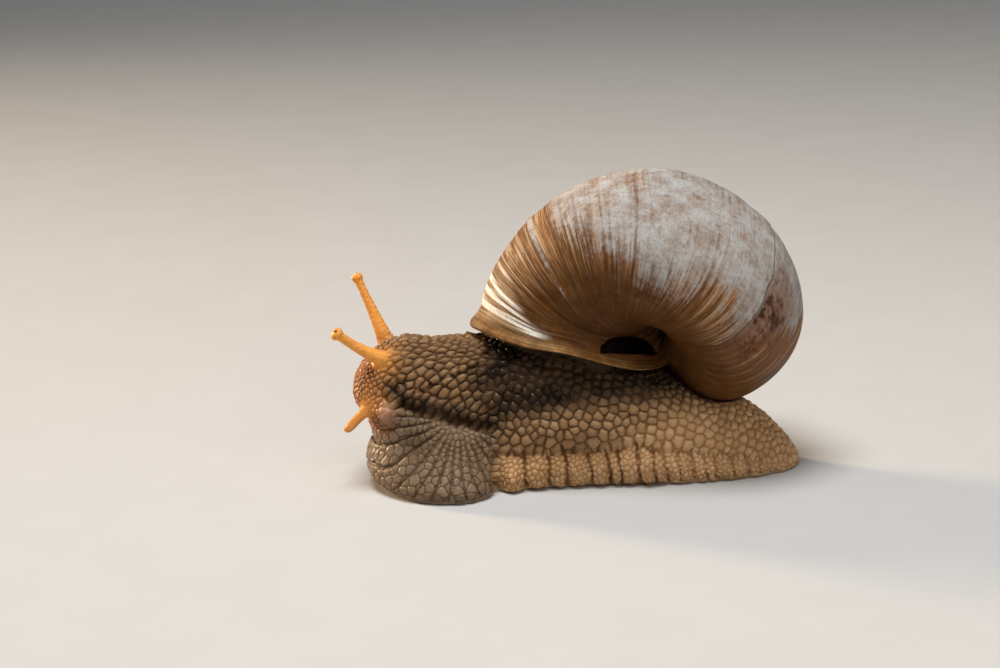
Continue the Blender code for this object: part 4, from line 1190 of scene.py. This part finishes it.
def skin_material():
    n = Nodes("snail_skin")
    places = n.places()
    cloud = n.noise(places, 260.0, 3.0, 0.5)
    mottle = n.noise(places, 1100.0, 4.0, 0.6)
    grain = n.noise(places, 5200.0, 3.0, 0.6)
    tone = n.number("tone")
    dark = n.ramp(n.swung(n.number("dark"), (mottle, 0.3)), 0.05, 1.0)

    # A tubercle's top, from its darkest to its lightest, and the gap beside it, darker partly as painted
    # shade; each region over the last.
    top = n.mix(tone, (0.215, 0.112, 0.044), (0.31, 0.18, 0.08))
    gap = (0.055, 0.022, 0.006)
    for name, low, high, between in (
            ("flank", (0.272, 0.148, 0.062), (0.384, 0.226, 0.106), (0.105, 0.052, 0.018)),
            ("fan", (0.15, 0.098, 0.055), (0.215, 0.148, 0.09), (0.072, 0.041, 0.02)),
            # The tail's lighter colours: partly its own paler skin, partly painted light where the open
            # sky falls on it.
            ("tail", (0.45, 0.248, 0.11), (0.55, 0.328, 0.168), (0.29, 0.15, 0.06)),
            ("fringe", (0.475, 0.254, 0.102), (0.605, 0.368, 0.182), (0.33, 0.17, 0.065)),
            ("rear", (0.52, 0.295, 0.132), (0.64, 0.405, 0.212), (0.4, 0.218, 0.092))):
        share = n.number(name)
        top, gap = n.mix(share, top, n.mix(tone, low, high)), n.mix(share, gap, between)
    # The face's orange: partly its own colour, partly painted glow of the warm light shining through it.
    face = n.number("face")
    top = n.mix(n.times(face, 0.85), top, (0.46, 0.165, 0.045))
    gap = n.mix(n.times(face, 0.8), gap, (0.19, 0.058, 0.014))
    # Where the dark mask is high, darker tops and gaps: the skin's own pigment together with painted
    # shade.
    top = n.mix(dark, top, n.mix(tone, (0.009, 0.004, 0.0015), (0.026, 0.014, 0.006)))
    gap = n.mix(dark, gap, (0.002, 0.0008, 0.0003))

    pale = n.times(n.ramp(grain, 0.45, 0.75, 0.0, 0.16), n.minus(1.0, dark))
    side_lobe = n.mix(mottle, (0.36, 0.18, 0.105), (0.48, 0.27, 0.17))
    collar = n.mix(n.ramp(mottle, 0.35, 0.65), (0.011, 0.006, 0.002), (0.038, 0.02, 0.006))
    # The feelers' orange: partly their own colour, partly painted glow of the warm light through them.
    feeler = n.mix(n.ramp(mottle, 0.35, 0.7), (0.86, 0.34, 0.06), (0.92, 0.42, 0.095))
    sole = n.mix(n.ramp(mottle, 0.3, 0.7), (0.3, 0.215, 0.14), (0.4, 0.3, 0.205))
    colour = n.over(
        n.mix(n.ramp(n.number("pebble"), 0.1, 0.9), gap, top),
        (n.ramp(cloud, 0.35, 0.7, 0.0, 0.18), (0.3, 0.16, 0.08)),
        (pale, (0.62, 0.48, 0.34)),
        (n.ramp(n.number("side_lobe"), 0.15, 0.85, 0.0, 0.85), side_lobe),
        (n.number("collar"), collar),
        (n.number("flush"), feeler),
        (n.number("sole"), sole))

    scales = n.add("TexVoronoi", "Distance", {"Vector": places, "Scale": 3400.0})
    height = n.plus(n.plus(n.times(mottle, 0.8), n.times(scales, 0.7)), n.times(grain, 0.35))
    n.set(Subsurface_Weight=0.12, Subsurface_Scale=0.0009, Subsurface_Radius=(1.0, 0.42, 0.2),
          Specular_IOR_Level=0.08, Coat_Weight=0.08, Coat_Roughness=0.12)
    return n.finish(colour, n.ramp(mottle, 0.3, 0.75, 0.24, 0.46), n.bump(height, 0.00009, 0.75))


def eye_material():
    n = Nodes("snail_eye")
    depth = n.noise(n.places(), 3000.0, 2.0)
    n.set(Specular_IOR_Level=0.6, Coat_Weight=1.0, Coat_Roughness=0.04)
    return n.finish(n.mix(depth, (0.006, 0.005, 0.005), (0.03, 0.018, 0.012)),
                    n.ramp(depth, 0.3, 0.7, 0.08, 0.16))


def floor_material():
    n = Nodes("studio_floor")
    speckle = n.noise(n.places(), 90.0, 3.0)
    n.set(Specular_IOR_Level=0.0)
    return n.finish(n.mix(speckle, (0.52, 0.51, 0.495), (0.56, 0.55, 0.535)),
                    n.ramp(speckle, 0.3, 0.7, 0.85, 0.95))


# ---------------------------------------------------------------- eyes

def build_eye(side, place, towards):
    """Glossy dark eye, sunk in the ball at the tip of an upper feeler."""
    data = bmesh.new()
    bmesh.ops.create_icosphere(data, subdivisions=4, radius=EYE_RADIUS)
    points = np.array([tuple(v.co) for v in data.verts])
    points -= 0.18 * np.outer(points @ towards, towards)        # a little flattened
    points += place - towards * EYE_SUNK
    for vertex, spot in zip(data.verts, to_frame(points).tolist()):
        vertex.co = spot
    mesh = mesh_of("snail_eye_" + side, data)
    mesh.shade_smooth()
    return linked(mesh.name, mesh)


# ---------------------------------------------------------------- stage

FLOOR_HALF, FLOOR_FLAT, FLOOR_RISE = 1.5, 0.62, 1.5     # metres, metres, and how steeply it sweeps up
CAMERA_DOWN, CAMERA_ROLL = math.radians(15.0), math.radians(2.4)
CAMERA_AIM = (0.7475, 4.616, 17.226)
CAMERA_AWAY = 351.4
WORLD_COLOUR, WORLD_STRENGTH = (0.86, 0.87, 0.88, 1.0), 0.13
LIGHTS = (      # name, place from the model's middle, size, power, colour, spread in degrees
    ("sky", (-0.05, -0.09, 0.42), 0.22, 2.15, (0.98, 0.99, 1.0), 180.0),
    ("front_fill", (0.26, -0.42, 0.24), 0.3, 0.55, (1.0, 0.95, 0.88), 180.0),
    ("warm_rim", (-0.62, 0.4, 0.16), 0.12, 0.75, (1.0, 0.74, 0.46), 60.0))


def build_floor():
    """Pale floor that sweeps up into a backdrop all round."""
    data = bmesh.new()
    bmesh.ops.create_grid(data, x_segments=48, y_segments=48, size=FLOOR_HALF)
    for vertex in data.verts:
        vertex.co.z = FLOOR_RISE * max(0.0, vertex.co.xy.length - FLOOR_FLAT) ** 2
    mesh = mesh_of("studio_floor", data)
    mesh.shade_smooth()
    mesh.materials.append(floor_material())
    floor = linked("studio_floor", mesh)
    floor.location = (0.0, 0.0, CAD_BOX[0].z)


def build_lights():
    middle = (CAD_BOX[0] + CAD_BOX[1]) / 2
    for name, place, size, power, colour, spread in LIGHTS:
        light = bpy.data.lights.new(name, "AREA")
        light.shape = "DISK"
        light.size = size
        light.energy = power
        light.color = colour
        light.spread = math.radians(spread)
        made = linked(name, light)
        made.visible_camera = False
        made.location = middle + Vector(place)
        made.rotation_euler = (middle - made.location).to_track_quat("-Z", "Y").to_euler()
    bpy.context.scene.view_settings.view_transform = "Standard"
    world = bpy.data.worlds.new("studio")
    bpy.context.scene.world = world
    world.use_nodes = True
    background = world.node_tree.nodes["Background"]
    background.inputs["Color"].default_value = WORLD_COLOUR
    background.inputs["Strength"].default_value = WORLD_STRENGTH


def build_camera():
    """The view from the animal's left along +Y and down, with a turned horizon."""
    upright = Vector((0.0, math.sin(CAMERA_DOWN), math.cos(CAMERA_DOWN)))
    right = Vector((math.cos(CAMERA_ROLL), 0.0, 0.0)) - math.sin(CAMERA_ROLL) * upright
    up = Vector((math.sin(CAMERA_ROLL), 0.0, 0.0)) + math.cos(CAMERA_ROLL) * upright
    back = Vector((0.0, -math.cos(CAMERA_DOWN), math.sin(CAMERA_DOWN)))
    camera = bpy.data.cameras.new("camera")
    camera.lens = 100.0
    camera.sensor_width = 36.0
    camera.clip_start = 0.01
    camera.clip_end = 10.0
    made = linked("camera", camera)
    turned = Matrix((right, up, back)).transposed().to_4x4()
    turned.translation = Vector(to_frame(CAMERA_AIM)) + back * (CAMERA_AWAY * MM)
    made.matrix_world = turned
    bpy.context.scene.camera = made


# ---------------------------------------------------------------- the whole model

def add_piece(piece, material, nodes):
    piece.data.materials.clear()
    piece.data.materials.append(material)
    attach(piece, "root")
    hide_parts(*nodes)


def main():
    shell = build_shell()
    add_piece(shell, shell_material(), ["shell"])
    skin, balls = build_skin()
    add_piece(skin, skin_material(), [*FLESH, *FEELERS])
    eye_look = eye_material()
    for side in ("left", "right"):
        add_piece(build_eye(side, *balls[side]), eye_look, ["eye_" + side])
    build_floor()
    build_lights()
    build_camera()


main()
